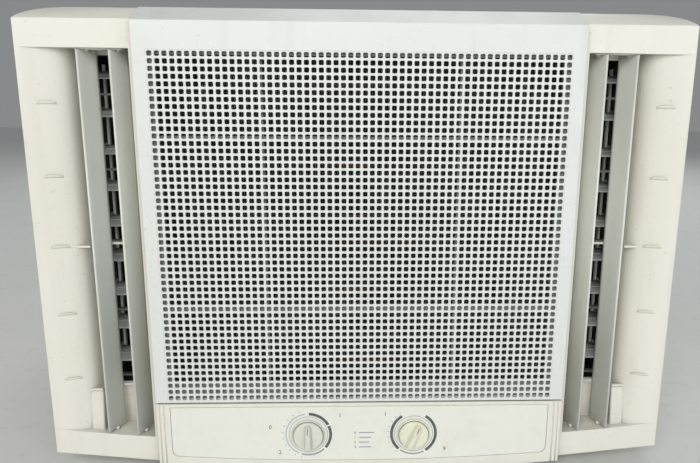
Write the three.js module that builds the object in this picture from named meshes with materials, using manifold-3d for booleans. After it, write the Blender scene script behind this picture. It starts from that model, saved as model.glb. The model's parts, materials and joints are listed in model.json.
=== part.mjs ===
// Window air conditioner: a steel cabinet with a moulded front, a tilting intake grille over a filter,
// two side outlets with vertical vanes and linked horizontal blades, two knobs, and the cooling chassis.
// Millimetres, +Z up, +X to the right of someone facing the front. Inside the assembly Y is the depth
// behind the face of the intake grille; the assembly is then shifted so that the origin is the centre of
// the bounding box's base.

import * as THREE from "three";
import { mergeVertices } from "three/addons/utils/BufferGeometryUtils.js";
import Module from "manifold-3d";

// ---------------------------------------------------------------- driving dimensions

const WIDTH = 600;
const HEIGHT = 441;
const KNOB_PROUD = 12;
const REAR = 560;
const GAP = 0.4;

// moulded front
const WING_FACE = 9;
const FRONT_REAR = 76;
const WALL = 3;
const ROOF_FRONT_Z = 429;
const ROOF_RISE_END = 35;
const CORNER_RUN = 48;
const CORNER_DROP = 13;
const BOTTOM_ARC = 6 / (170 * 170);
const SEAT_HALF = 198.2;
const SEAT_DEPTH = 28;

// centre panels
const PANEL_HALF = 197.5;
const PANEL_SKIN = 3;
const PANEL_SKIRT = 27;
const SEAM_Z = 73.4;
const SEAM_GAP = 1.4;
const PANEL_FRONT_TOP = 427.5;
const FIELD_Z = 240;
const FIELD_HALF_X = 185.6;
const FIELD_HALF_Z = 163.2;
const COARSE = { columns: 7, rows: 5, bar: 14 };
const INTAKE = { half: 186, low: 84, high: 412 };
const FILTER = { half: 186, low: 82, high: 410, front: 4.5, rear: 9.5, border: 9, rib: 4, net: 1.2 };
const FILTER_RIB_X = [-89, 0, 89];
const FILTER_RIB_Z = [168, 328];

// side outlets
const RECESS_IN = 203;
const RECESS_TOP = 404.5;
const RECESS_BACK = 40;
const RECESS_WALL = 2.5;
const RIM = 298;
const THROAT = 255;
const SCOOP_BEND = { x: 258, depth: 12 };
const LIP_Z = 34.2;
const WINDOW = { out: THROAT, low: 66, high: 400 };
const VANE_X = { inner: 215.5, outer: 243.5 };
const VANE_Y = 20.5;
const VANE_CHORD = 24;
const VANE_THICK = 2;
const VANE_REST_DEG = 23;
const VANE_TOP = 403;
const VANE_PIN = { radius: 2, length: 2.6, play: 0.6 };

// horizontal blades, tilted together by one link bar a side
const BLADE_COUNT = 9;
const BLADE_PITCH = 35;
const BLADE_LOW_Z = 102.5;
const BLADE_Y = 58;
const BLADE_CHORD = 26;
const BLADE_THICK = 1.8;
const BLADE_REST_DEG = 15;
const BLADE_IN = 206.2;
const BLADE_OUT = 256.8;
const LINK_X = 249.5;
const LINK_ARM = 18;
const LINK_PIN_R = 1.1;
const LINK_BAR = { thick: 2.4, half: 2.2, over: 6, play: 0.5, pinOver: 0.7 };
const BLADE_PIN_R = 1.5;
const DUCT = { xIn: 203, xOut: 260, yFront: 43, yRear: 95, low: 63, high: 403, wall: 2, ribs: 5 };

// control panel
const LABEL = { half: 184, top: 69.4, corner: 8, side: 18, middle: 12, back: 0.9, thick: 0.6 };
const KNOB = { x: 51.7, z: 40, radius: 16, rim: 2.4, face: 5, lean: 22, bar: 4.6, reach: 12.5, socket: 9 };
const SPINDLE_R = 3;
const SPINDLE_HOLE_R = 5;
const SWITCH = { front: 36, depth: 26, low: 22, high: 60, bush: 5, bushReach: 3, bore: 10 };
const TRAY = { left: -96, right: 150, front: 33, rear: 67, low: 14, high: 72, sheet: 1.5, flange: 8 };
const CAPACITOR = { radius: 13, left: 82, right: 140, y: 50, z: 42 };

// cabinet and chassis
const CABINET_HALF = 280;
const CABINET_TOP = 425;
const CABINET_FRONT = 60;
const SHEET = 1.5;
const JOGGLE = 1;
const SIDE_SLOT = { rows: 6, low: 95, high: 365, starts: [395, 470], length: 60, width: 10 };
const TOP_SLOT = { starts: [-190, 30], depths: [410, 450], length: 160, width: 10 };
const INLET = { y: 110, z: 40, hole: 8, bore: 4.2, waist: 7.4, flange: 10.5, lip: 2.5 };
const PAN = { half: 272, front: 70, rear: 550, floor: 2, thick: 2, rim: 26 };
const GUARD = { half: 276, low: 28, high: 421, y: 552, thick: 4, rim: 6, columns: 4, rows: 9, bar: 3 };
const EVAPORATOR = { half: 180, front: 44, rear: 84, low: 84, high: 402, flange: 12 };
const CONDENSER = { half: 238, front: 506, rear: 546, low: 8, high: 414, flange: 14 };
const BULKHEAD = { half: 270, front: 205, rear: 209, low: 5, high: 420, pipeHole: 7, shaftHole: 9 };
const HOUSING = { half: 271, front: 97, rear: 203, low: 60, high: 418, wall: 2, inlet: 98, scroll: 136 };
const HOUSING_SLOT = { in: 206, out: 266, low: 68, high: 398 };
const SCROLL_FROM_DEG = 25;
const AXIS_Z = 225;
const SHAFT = { radius: 5, front: 150, rear: 432 };
const WHEEL = { outer: 116, inner: 100, front: 108, rear: 178, fins: 20, rim: 4, hub: 14, hubReach: 22 };
const FAN = { hub: 34, tip: 178, ring: 185, front: 400, rear: 436, pitchDeg: 24, paddles: 5, ringHalf: 7 };
const SHROUD = { half: 256, front: 438, rear: 504, low: 6, high: 418, wall: 2, throat: 190, collar: 22 };
const MOTOR = { front: 232, rear: 312, radius: 52, boss: 14, bossReach: 12 };
const BRACKET = { half: 78, front: 262, rear: 282, wall: 3, footHalf: 90, footFront: 240, footRear: 304 };
const COMPRESSOR = { x: -185, y: 318, radius: 62, low: 34, high: 268 };
const ACCUMULATOR = { x: -200, y: 232, radius: 18, low: 96, high: 214 };
const DRIER = { x: 214, y: 370, radius: 11, low: 96, high: 180 };
const PIPE_X = 190;
const PIPE_Z = 45;
const THICK_PIPE_R = 4;
const THIN_PIPE_R = 2;
const SIDE_RUN = 266;

// ---------------------------------------------------------------- solids

const wasm = await Module();
wasm.setup();

// A closed three.js geometry as a manifold-3d solid, with its faces pointing out.
function solidOf(geometry) {
  const bare = geometry.index ? geometry.toNonIndexed() : geometry.clone();
  bare.deleteAttribute("normal");
  bare.deleteAttribute("uv");
  const merged = mergeVertices(bare, 1e-4);
  const index = merged.index.array;
  const triangles = [];
  for (let i = 0; i < index.length; i += 3) {
    const [a, b, c] = [index[i], index[i + 1], index[i + 2]];
    if (a !== b && b !== c && c !== a) triangles.push(a, b, c);
  }
  const make = (corners) =>
    new wasm.Manifold(
      new wasm.Mesh({
        numProp: 3,
        vertProperties: merged.attributes.position.array,
        triVerts: new Uint32Array(corners),
      }),
    );
  const made = make(triangles);
  return made.volume() < 0 ? make(triangles.reverse()) : made;
}

function geometryOf(made) {
  const mesh = made.getMesh();
  const geometry = new THREE.BufferGeometry();
  geometry.setAttribute("position", new THREE.BufferAttribute(mesh.vertProperties, 3));
  geometry.setIndex(new THREE.BufferAttribute(mesh.triVerts, 1));
  geometry.computeVertexNormals();
  return geometry;
}

const combine = (method) => (first, ...rest) =>
  geometryOf(rest.reduce((made, other) => made[method](solidOf(other)), solidOf(first)));
const join = combine("add");
const cut = combine("subtract");
const overlap = combine("intersect");

const radians = THREE.MathUtils.degToRad;
const mirrored = (geometry) => geometry.clone().scale(-1, 1, 1);
const bothSides = (geometry) => join(geometry, mirrored(geometry));
const spread = (count, from, to) =>
  Array.from({ length: count }, (_, i) => from + ((to - from) * i) / (count - 1));
const outline = (points) => new THREE.Shape(points.map(([a, b]) => new THREE.Vector2(a, b)));

// How a drawn outline lies when it is extruded along each axis.
const unit = (x, y, z) => new THREE.Vector3(x, y, z);
const PLANES = {
  x: new THREE.Matrix4().makeBasis(unit(0, 1, 0), unit(0, 0, 1), unit(1, 0, 0)),
  y: new THREE.Matrix4().makeBasis(unit(1, 0, 0), unit(0, 0, 1), unit(0, -1, 0)),
  z: new THREE.Matrix4(),
};

// Extrudes an outline along an axis, from one coordinate to another. The outline is drawn in the other
// two axes, in X, Y, Z order.
function extrude(shape, axis, from, to, curveSegments = 6) {
  const options = { depth: to - from, bevelEnabled: false, curveSegments };
  const geometry = new THREE.ExtrudeGeometry(shape, options);
  geometry.translate(0, 0, axis === "y" ? -to : from);
  return geometry.applyMatrix4(PLANES[axis]);
}

function box(x0, x1, y0, y1, z0, z1) {
  const geometry = new THREE.BoxGeometry(x1 - x0, y1 - y0, z1 - z0);
  return geometry.translate((x0 + x1) / 2, (y0 + y1) / 2, (z0 + z1) / 2);
}

// Lays a geometry made round three.js's Y axis along another axis, through a centre given in the other two.
function lay(geometry, axis, [a, b]) {
  if (axis === "x") return geometry.rotateZ(-Math.PI / 2).translate(0, a, b);
  if (axis === "z") return geometry.rotateX(Math.PI / 2).translate(a, b, 0);
  return geometry.translate(a, 0, b);
}

function rod(axis, radius, from, to, centre, sides = 12) {
  const geometry = new THREE.CylinderGeometry(radius, radius, to - from, sides);
  return lay(geometry.translate(0, (from + to) / 2, 0), axis, centre);
}

// Turns a profile of [radius, place along the axis] points round an axis.
function turn(profile, axis, centre, sides = 24) {
  const points = profile.map(([r, h]) => new THREE.Vector2(r, h));
  return lay(new THREE.LatheGeometry(points, sides), axis, centre);
}

// A ring of square section round an axis.
function ring(inner, outer, from, to, axis, centre, sides) {
  const profile = [[inner, from], [outer, from], [outer, to], [inner, to], [inner, from]];
  return turn(profile, axis, centre, sides);
}

// A round tube along a smooth route.
function pipe(route, radius, steps, sides = 6) {
  const path = new THREE.CatmullRomCurve3(route.map(([x, y, z]) => unit(x, y, z)));
  const section = new THREE.Shape();
  section.absarc(0, 0, radius, 0, 2 * Math.PI);
  const options = { steps, extrudePath: path, bevelEnabled: false, curveSegments: sides / 2 };
  return new THREE.ExtrudeGeometry(section, options);
}

// ---------------------------------------------------------------- finishes

const finish = (color, roughness, metalness = 0) =>
  new THREE.MeshStandardMaterial({ color, roughness, metalness });

const FINISH = {
  cream: () => finish(0xdedccb, 0.5),
  white: () => finish(0xe2e4e6, 0.45),
  vane: () => finish(0xcfd1c4, 0.5),
  grey: () => finish(0x6c6f70, 0.6),
  dark: () => finish(0x2b2d2f, 0.6),
  paint: () => finish(0xd8d6c8, 0.4, 0.1),
  zinc: () => finish(0xa9adb0, 0.45, 0.8),
  fins: () => finish(0xb9bcbf, 0.35, 0.9),
  copper: () => finish(0xb46a45, 0.35, 1),
  black: () => finish(0x1d1e20, 0.5),
  label: () => finish(0xe9e9e4, 0.35),
  filter: () => finish(0x8e9490, 0.8),
  knob: () => finish(0xe3e2cc, 0.4),
};

const assembly = new THREE.Group();
assembly.position.y = -(REAR - KNOB_PROUD) / 2;

function place(name, geometry, material, parent = assembly) {
  const mesh = new THREE.Mesh(geometry, material);
  mesh.name = name;
  parent.add(mesh);
  return mesh;
}

// ---------------------------------------------------------------- moulded front

const arcZ = (x) => BOTTOM_ARC * x * x;
const lipZ = (x) => LIP_Z + BOTTOM_ARC * (x * x - RECESS_IN * RECESS_IN);

// The front seen head on: a gently bowed lower edge, and shoulders that round down to the sides.
function frontOutline(inset) {
  const half = WIDTH / 2 - inset;
  const low = arcZ(half) + inset;
  const top = HEIGHT - inset;
  const shape = new THREE.Shape();
  shape.moveTo(-half, low);
  shape.quadraticCurveTo(0, 2 * inset - low, half, low);
  shape.lineTo(half, top - CORNER_DROP);
  shape.quadraticCurveTo(half, top, half - CORNER_RUN, top);
  shape.lineTo(CORNER_RUN - half, top);
  shape.quadraticCurveTo(-half, top, -half, top - CORNER_DROP);
  return shape;
}

// The front seen from the side: the roof rises from the front edge.
function frontProfile(inset, rear) {
  return outline([
    [WING_FACE + inset, -1],
    [rear, -1],
    [rear, HEIGHT + 1],
    [ROOF_RISE_END + inset, HEIGHT + 1],
    [ROOF_RISE_END + inset, HEIGHT - inset],
    [WING_FACE + inset, ROOF_FRONT_Z - inset],
  ]);
}

function frontShell(inset, rear) {
  const reach = WIDTH / 2 + 1;
  const body = extrude(frontOutline(inset), "y", WING_FACE + inset, rear);
  return overlap(body, extrude(frontProfile(inset, rear), "x", -reach, reach));
}

// Plan of a scoop: from the outer rim it runs in almost level, then rolls back steeply into the window.
function scoopPlan(offset) {
  const back = RECESS_BACK + offset;
  const shape = new THREE.Shape();
  shape.moveTo(RECESS_IN - offset, WING_FACE - 1);
  shape.lineTo(RIM, WING_FACE - 1);
  shape.lineTo(RIM, WING_FACE + offset);
  shape.quadraticCurveTo(SCOOP_BEND.x + offset, SCOOP_BEND.depth + offset, THROAT + offset, back);
  shape.lineTo(RECESS_IN - offset, back);
  return shape;
}

// Head-on outline of a recess: its floor follows the lower lip's bowed edge.
function recessOutline(offset) {
  const inner = RECESS_IN - offset;
  const middle = (inner + RIM) / 2;
  const shape = new THREE.Shape();
  shape.moveTo(inner, lipZ(RECESS_IN) - offset);
  shape.quadraticCurveTo(middle, lipZ(middle) - offset - 1, RIM, lipZ(RIM) - offset);
  shape.lineTo(RIM, RECESS_TOP + offset);
  shape.lineTo(inner, RECESS_TOP + offset);
  return shape;
}

function recess(offset) {
  const plan = extrude(scoopPlan(offset), "z", 0, HEIGHT, 8);
  return overlap(plan, extrude(recessOutline(offset), "y", 0, RECESS_BACK + offset, 4));
}

function frontFrame() {
  const shell = cut(frontShell(0, FRONT_REAR), frontShell(WALL, FRONT_REAR - WALL));
  const seatBack = SEAT_DEPTH + WALL;
  const seatWall = box(-RECESS_IN, RECESS_IN, SEAT_DEPTH, seatBack, WALL, HEIGHT - WALL);
  const seatSide = box(SEAT_HALF - 1, RECESS_IN, WING_FACE, RECESS_BACK, WALL, HEIGHT - WALL);
  const inside = frontShell(WALL / 2, FRONT_REAR - WALL / 2);
  const added = overlap(join(seatWall, bothSides(join(seatSide, recess(RECESS_WALL)))), inside);
  const [windowFront, windowRear] = [RECESS_BACK - 1, RECESS_BACK + WALL + 1];
  const window = box(RECESS_IN + 2, WINDOW.out, windowFront, windowRear, WINDOW.low, WINDOW.high);
  const pinHole = VANE_PIN.radius + VANE_PIN.play;
  const pinHoles = Object.values(VANE_X).map((x) =>
    rod("z", pinHole, lipZ(x) - 2.2, RECESS_TOP + 2, [x, VANE_Y], 8),
  );
  const shaftHoleR = SPINDLE_HOLE_R + 1;
  const shaft = rod("y", shaftHoleR, SEAT_DEPTH - 1, seatBack + 1, [KNOB.x, KNOB.z], 12);
  const sides = bothSides(join(recess(0), window, ...pinHoles));
  const seat = box(-SEAT_HALF, SEAT_HALF, 0, SEAT_DEPTH, -1, HEIGHT + 1);
  const sleeve = CABINET_HALF + GAP;
  const cabinetHole = box(-sleeve, sleeve, CABINET_FRONT - 2, REAR, -1, CABINET_TOP + GAP);
  const intake = box(-INTAKE.half, INTAKE.half, SEAT_DEPTH - 1, seatBack + 1, INTAKE.low, INTAKE.high);
  return cut(join(shell, added), sides, seat, cabinetHole, intake, shaft, mirrored(shaft));
}

// ---------------------------------------------------------------- intake grille and filter

// The panel seen from the side: a flat face, then the bevel that rises to the roof line.
function panelProfile(inset, rear) {
  const low = SEAM_Z + SEAM_GAP + inset;
  return outline([
    [inset, low],
    [rear, low],
    [rear, HEIGHT - inset],
    [PANEL_SKIRT, HEIGHT - inset],
    [inset, PANEL_FRONT_TOP - inset * 0.75],
  ]);
}

// A tray with coarse windows, which stand for the field of small square holes.
function intakeGrille() {
  const outer = extrude(panelProfile(0, PANEL_SKIRT), "x", -PANEL_HALF, PANEL_HALF);
  const half = PANEL_HALF - PANEL_SKIN;
  const hollow = extrude(panelProfile(PANEL_SKIN, PANEL_SKIRT + 1), "x", -half, half);
  const { columns, rows, bar } = COARSE;
  const cellX = (2 * FIELD_HALF_X + bar) / columns;
  const cellZ = (2 * FIELD_HALF_Z + bar) / rows;
  const windows = [];
  for (let column = 0; column < columns; column += 1) {
    for (let row = 0; row < rows; row += 1) {
      const x = -FIELD_HALF_X + column * cellX;
      const z = FIELD_Z - FIELD_HALF_Z + row * cellZ;
      windows.push(box(x, x + cellX - bar, -1, PANEL_SKIN + 1, z, z + cellZ - bar));
    }
  }
  return cut(outer, hollow, ...windows);
}

// A moulded frame with two ribs each way, closed in front by its net.
function airFilter() {
  const { half, low, high, front, rear, border, rib, net } = FILTER;
  const frame = box(-half, half, front, rear, low, high);
  const columns = [border - half, ...FILTER_RIB_X, half - border];
  const rows = [low + border, ...FILTER_RIB_Z, high - border];
  const cells = [];
  for (let i = 0; i + 1 < columns.length; i += 1) {
    for (let j = 0; j + 1 < rows.length; j += 1) {
      const [x0, x1] = [columns[i] + rib / 2, columns[i + 1] - rib / 2];
      const [z0, z1] = [rows[j] + rib / 2, rows[j + 1] - rib / 2];
      cells.push(box(x0, x1, front + net, rear + 1, z0, z1));
    }
  }
  return cut(frame, ...cells);
}

// ---------------------------------------------------------------- control panel

function fasciaOutline(inset) {
  const half = PANEL_HALF - inset;
  const low = arcZ(PANEL_HALF) + inset;
  const shape = new THREE.Shape();
  shape.moveTo(-half, low);
  shape.quadraticCurveTo(0, 2 * inset - low, half, low);
  shape.lineTo(half, SEAM_Z - inset);
  shape.lineTo(-half, SEAM_Z - inset);
  return shape;
}

// The dial label: straight top, rounded lower corners and a bowed lower edge.
function labelOutline(grow) {
  const { corner } = LABEL;
  const [half, top] = [LABEL.half + grow, LABEL.top + grow];
  const [side, middle] = [LABEL.side - grow, LABEL.middle - grow];
  const shape = new THREE.Shape();
  shape.moveTo(-half, top);
  shape.lineTo(-half, side + corner);
  shape.quadraticCurveTo(-half, side, corner - half, side);
  shape.quadraticCurveTo(0, 2 * middle - side, half - corner, side);
  shape.quadraticCurveTo(half, side, half, side + corner);
  shape.lineTo(half, top);
  return shape;
}

const shaftHole = () => rod("y", SPINDLE_HOLE_R, -1, PANEL_SKIN + 1, [KNOB.x, KNOB.z], 12);

function controlFascia() {
  const outer = extrude(fasciaOutline(0), "y", 0, SEAT_DEPTH - GAP);
  const hollow = extrude(fasciaOutline(PANEL_SKIN), "y", PANEL_SKIN, SEAT_DEPTH + 1);
  const pocket = extrude(labelOutline(GAP), "y", -1, LABEL.back + GAP);
  return cut(outer, hollow, pocket, shaftHole(), mirrored(shaftHole()));
}

function controlLabel() {
  const film = extrude(labelOutline(0), "y", LABEL.back - LABEL.thick, LABEL.back);
  return cut(film, shaftHole(), mirrored(shaftHole()));
}

// A disc with a raised grip bar and a blind socket for the spindle, made round the spindle's axis.
function knob() {
  const { radius, rim, face, bar, reach, socket } = KNOB;
  const profile = [[0, -0.5], [radius, -0.5], [radius, -rim], [radius - 1.5, -face], [0, -face - 0.8]];
  const grip = box(-bar, bar, -KNOB_PROUD, -face / 2, -reach, reach);
  const hole = rod("y", SPINDLE_R + GAP, -socket, 1, [0, 0], 10);
  return cut(join(turn(profile, "y", [0, 0], 28), grip), hole);
}

function spindle(x) {
  return rod("y", SPINDLE_R, GAP / 2 + 0.3 - KNOB.socket, SWITCH.front + SWITCH.bore - 1, [x, KNOB.z], 10);
}

function rotarySwitch(x, halfWidth) {
  const { front, depth, low, high, bush, bushReach, bore } = SWITCH;
  const body = box(x - halfWidth, x + halfWidth, front, front + depth, low, high);
  const collar = rod("y", bush, front - bushReach, front + 1, [x, KNOB.z], 10);
  const hole = rod("y", SPINDLE_R + GAP, front - bushReach - 1, front + bore, [x, KNOB.z], 10);
  return cut(join(body, collar), hole);
}

// An open-fronted tray behind the fascia that holds the switches and the capacitor.
function controlBox() {
  const { left, right, front, rear, low, high, sheet, flange } = TRAY;
  const tray = box(left, right, front, rear, low, high);
  const inside = box(left + sheet, right - sheet, front - 1, rear - sheet, low + sheet, high - sheet);
  const wings = box(left - flange, right + flange, front, front + sheet, low, high);
  return cut(join(tray, wings), inside);
}

function runCapacitor() {
  const { radius, left, right, y, z } = CAPACITOR;
  return rod("x", radius, left, right, [y, z], 16);
}

// ---------------------------------------------------------------- outlets

// An upright vane made round its own pivot, with a pin at each end.
function vane(low) {
  const [half, mid, nose] = [VANE_CHORD / 2, VANE_THICK / 2, 0.5];
  const section = outline([
    [-nose, -half],
    [nose, -half],
    [mid, -half * 0.7],
    [mid, half * 0.7],
    [nose, half],
    [-nose, half],
    [-mid, half * 0.7],
    [-mid, -half * 0.7],
  ]);
  const { radius, length } = VANE_PIN;
  const pins = rod("z", radius, low - length, RECESS_TOP + length / 2, [0, 0], 8);
  return join(extrude(section, "z", low, VANE_TOP), pins);
}

// A horizontal blade made round its own pivot line: end pins, and a lug whose pin carries the link bar.
function blade() {
  const [half, mid] = [BLADE_CHORD / 2, BLADE_THICK / 2];
  const section = outline([
    [-half, 0],
    [-half * 0.7, -mid],
    [half, -mid],
    [half, mid],
    [-half * 0.7, mid],
  ]);
  const ends = rod("x", BLADE_PIN_R, BLADE_IN - 2, BLADE_OUT + 2, [0, 0], 6);
  const lugX = LINK_X + LINK_BAR.thick / 2 + GAP;
  const lug = box(lugX, lugX + 2, half - 1, LINK_ARM + 1.5, -mid, mid);
  const linkPinEnd = LINK_X - LINK_BAR.thick / 2 - LINK_BAR.pinOver;
  const linkPin = rod("x", LINK_PIN_R, linkPinEnd, lugX + 1, [LINK_ARM, 0], 6);
  return join(extrude(section, "x", BLADE_IN, BLADE_OUT), ends, lug, linkPin);
}

const bladeZ = (index) => BLADE_LOW_Z + index * BLADE_PITCH;

// The upright bar that joins one outlet's blades, with a hole for each blade's link pin.
function linkBar() {
  const lean = radians(BLADE_REST_DEG);
  const [y, rise] = [BLADE_Y + LINK_ARM * Math.cos(lean), LINK_ARM * Math.sin(lean)];
  const { thick, half, over, play } = LINK_BAR;
  const [x0, x1] = [LINK_X - thick / 2, LINK_X + thick / 2];
  const [low, high] = [bladeZ(0) + rise, bladeZ(BLADE_COUNT - 1) + rise];
  const bar = box(x0, x1, y - half, y + half, low - over, high + over);
  const holes = spread(BLADE_COUNT, low, high).map((z) =>
    rod("x", LINK_PIN_R + play, x0 - 1, x1 + 1, [y, z], 6),
  );
  return cut(bar, ...holes);
}

// The moulded duct behind an outlet's window: it carries the blades' pins and has fixed cross ribs.
function outletDuct() {
  const { xIn, xOut, yFront, yRear, low, high, wall, ribs } = DUCT;
  const tube = cut(
    box(xIn, xOut, yFront, yRear, low, high),
    box(xIn + wall, xOut - wall, yFront - 1, yRear + 1, low + wall, high - wall),
  );
  const bars = spread(ribs, bladeZ(-0.5), bladeZ(BLADE_COUNT - 1.5)).map((z) =>
    box(xIn + 1, xOut - 1, yFront, yFront + 5, z - 1, z + 1),
  );
  const pins = spread(BLADE_COUNT, bladeZ(0), bladeZ(BLADE_COUNT - 1)).map((z) =>
    rod("x", BLADE_PIN_R + 0.5, xIn - 1, xOut + 1, [BLADE_Y, z], 6),
  );
  return cut(join(tube, ...bars), ...pins);
}

// Everything of one side outlet, drawn for the right side and mirrored for the left.
function outlet(name, side) {
  const group = new THREE.Group();
  group.scale.x = side;
  assembly.add(group);
  place(name + "_outlet_duct", outletDuct(), FINISH.grey(), group);
  place(name + "_link_bar", linkBar(), FINISH.vane(), group);
  for (const [which, x] of Object.entries(VANE_X)) {
    const mesh = place(name + "_vane_" + which, vane(lipZ(x) + 1.2), FINISH.vane(), group);
    mesh.position.set(x, VANE_Y, 0);
    mesh.rotation.z = radians(VANE_REST_DEG);
  }
  for (let i = 0; i < BLADE_COUNT; i += 1) {
    const mesh = place(name + "_blade_" + (i + 1), blade(), FINISH.grey(), group);
    mesh.position.set(0, BLADE_Y, bladeZ(i));
    mesh.rotation.x = radians(BLADE_REST_DEG);
  }
}

// ---------------------------------------------------------------- cabinet

// A tube of sheet metal. Its front edge is joggled inwards, so that the moulded front slips over it.
function outerCabinet() {
  const [half, top] = [CABINET_HALF, CABINET_TOP];
  const shoulder = FRONT_REAR + GAP;
  const tube = (y0, y1, inset, bottom) => box(inset - half, half - inset, y0, y1, bottom, top - inset);
  const shell = cut(
    join(tube(shoulder, REAR, 0, 0), tube(CABINET_FRONT, shoulder + 1, JOGGLE, 0)),
    tube(shoulder + 1, REAR + 1, SHEET, SHEET),
    tube(CABINET_FRONT - 1, shoulder + 2, SHEET + JOGGLE, SHEET),
  );
  const slots = [];
  const sideHalf = SIDE_SLOT.width / 2;
  for (const y of SIDE_SLOT.starts) {
    for (const z of spread(SIDE_SLOT.rows, SIDE_SLOT.low, SIDE_SLOT.high)) {
      slots.push(box(-half - 1, half + 1, y, y + SIDE_SLOT.length, z - sideHalf, z + sideHalf));
    }
  }
  for (const y of TOP_SLOT.depths) {
    for (const x of TOP_SLOT.starts) {
      slots.push(box(x, x + TOP_SLOT.length, y, y + TOP_SLOT.width, top - 2 * SHEET, top + 1));
    }
  }
  const inlet = rod("x", INLET.hole, half - 2 * SHEET, half + 1, [INLET.y, INLET.z], 12);
  return cut(shell, ...slots, inlet);
}

// Rubber grommet where a power lead would enter, waisted to grip the sheet.
function inletGrommet() {
  const [face, back] = [CABINET_HALF + GAP, CABINET_HALF - SHEET - GAP];
  const { y, z, bore, waist, flange, lip } = INLET;
  const profile = [
    [bore, back - lip],
    [flange, back - lip],
    [flange, back],
    [waist, back],
    [waist, face],
    [flange, face],
    [flange - 1.5, face + lip],
    [bore, face + lip],
    [bore, back - lip],
  ];
  return turn(profile, "x", [y, z], 12);
}

function basePan() {
  const { half, front, rear, floor, thick, rim } = PAN;
  return cut(
    box(-half, half, front, rear, floor, rim),
    box(thick - half, half - thick, front + thick, rear - thick, floor + thick, rim + 1),
  );
}

// The guard across the rear of the cabinet.
function rearGuard() {
  const { half, low, high, y, thick, rim, columns, rows, bar } = GUARD;
  const cellX = (2 * (half - rim) + bar) / columns;
  const cellZ = (high - low - 2 * rim + bar) / rows;
  const windows = [];
  for (let column = 0; column < columns; column += 1) {
    for (let row = 0; row < rows; row += 1) {
      const [x, z] = [rim - half + column * cellX, low + rim + row * cellZ];
      windows.push(box(x, x + cellX - bar, y - 1, y + thick + 1, z, z + cellZ - bar));
    }
  }
  return cut(box(-half, half, y, y + thick, low, high), ...windows);
}

// ---------------------------------------------------------------- cooling chassis

// A finned block between two flanged end plates.
function coil({ half, front, rear, low, high, flange }) {
  const block = box(-half, half, front + 1, rear - 1, low + 1, high - 1);
  const plate = box(half - 1, half + 1, front, rear, low, high);
  const foot = box(half - 1, half + flange, rear - 2, rear, low, high);
  return join(block, bothSides(join(plate, foot)));
}

function bulkhead() {
  const { half, front, rear, low, high } = BULKHEAD;
  const hole = (radius, centre) => rod("y", radius, front - 1, rear + 1, centre, 12);
  const pipeHoles = [-PIPE_X, PIPE_X].map((x) => hole(BULKHEAD.pipeHole, [x, PIPE_Z]));
  const shaftWay = hole(BULKHEAD.shaftHole, [0, AXIS_Z]);
  return cut(box(-half, half, front, rear, low, high), shaftWay, ...pipeHoles);
}

// Box round the blower: a round inlet, a slot to each outlet duct, and two scroll walls.
function blowerHousing() {
  const { half, front, rear, low, high, wall } = HOUSING;
  const shell = cut(
    box(-half, half, front, rear, low, high),
    box(wall - half, half - wall, front + wall, rear + 1, low + wall, high - wall),
  );
  const inlet = rod("y", HOUSING.inlet, front - 1, front + wall + 1, [0, AXIS_Z], 28);
  const outlets = HOUSING_SLOT;
  const slot = box(outlets.in, outlets.out, front - 1, front + wall + 1, outlets.low, outlets.high);
  const [from, to] = [radians(SCROLL_FROM_DEG), radians(180 - SCROLL_FROM_DEG)];
  const scroll = new THREE.Shape();
  scroll.absarc(0, 0, HOUSING.scroll, from, to, false);
  scroll.absarc(0, 0, HOUSING.scroll - wall, to, from, true);
  const upper = extrude(scroll, "y", front + 1, rear, 10);
  const lower = upper.clone().rotateY(Math.PI);
  const scrolls = [upper, lower].map((wallArc) => wallArc.translate(0, 0, AXIS_Z));
  return join(cut(shell, inlet, bothSides(slot)), ...scrolls);
}

// Squirrel-cage wheel: a rear disc with its hub, a ring of blades, and a front ring.
function blowerWheel() {
  const { outer, inner, front, rear, fins, rim, hub, hubReach } = WHEEL;
  const bore = SHAFT.radius + GAP;
  const disc = join(
    ring(bore, outer, rear - 2, rear, "y", [0, 0], 20),
    ring(bore, hub, rear - hubReach, rear - 1, "y", [0, 0], 12),
  );
  const section = outline([[inner + 1, -2], [outer - 3, 4], [outer - 3, 5.4], [inner + 1, -0.6]]);
  const paddles = spread(fins, 0, 360 - 360 / fins).map((angle) =>
    extrude(section, "y", front + 1, rear - 1).rotateY(radians(angle)),
  );
  const wheel = join(disc, ring(inner, outer, front, front + rim, "y", [0, 0], 20), ...paddles);
  return wheel.translate(0, 0, AXIS_Z);
}

// Axial fan with a ring round its tips that throws condensate on to the coil.
function condenserFan() {
  const { hub, tip, front, rear, ringHalf } = FAN;
  const middle = (front + rear) / 2;
  const boss = ring(SHAFT.radius + GAP, hub, front + 6, rear - 6, "y", [0, 0], 16);
  const slinger = ring(tip - 2, FAN.ring, middle - ringHalf, middle + ringHalf, "y", [0, 0], 32);
  const plan = outline([[hub - 4, -16], [tip, -38], [tip, 34], [hub - 4, 18]]);
  const flat = extrude(plan, "y", -1, 1).rotateX(radians(FAN.pitchDeg));
  const paddles = spread(FAN.paddles, 0, 360 - 360 / FAN.paddles).map((angle) =>
    flat.clone().rotateY(radians(angle)).translate(0, middle, 0),
  );
  const blades = overlap(join(...paddles), rod("y", tip - 1, front - 4, rear + 4, [0, 0], 32));
  return join(boss, slinger, blades).translate(0, 0, AXIS_Z);
}

const motorShaft = () => rod("y", SHAFT.radius, SHAFT.front, SHAFT.rear, [0, AXIS_Z], 10);

function fanMotor() {
  const { front, rear, radius, boss, bossReach } = MOTOR;
  const bore = SHAFT.radius + GAP;
  const profile = [
    [bore, front - bossReach],
    [boss, front - bossReach],
    [boss, front],
    [radius - 8, front + 4],
    [radius, front + 14],
    [radius, rear - 14],
    [radius - 8, rear - 4],
    [boss, rear],
    [bore, rear],
    [bore, front - bossReach],
  ];
  return turn(profile, "y", [0, AXIS_Z], 20);
}

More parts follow.
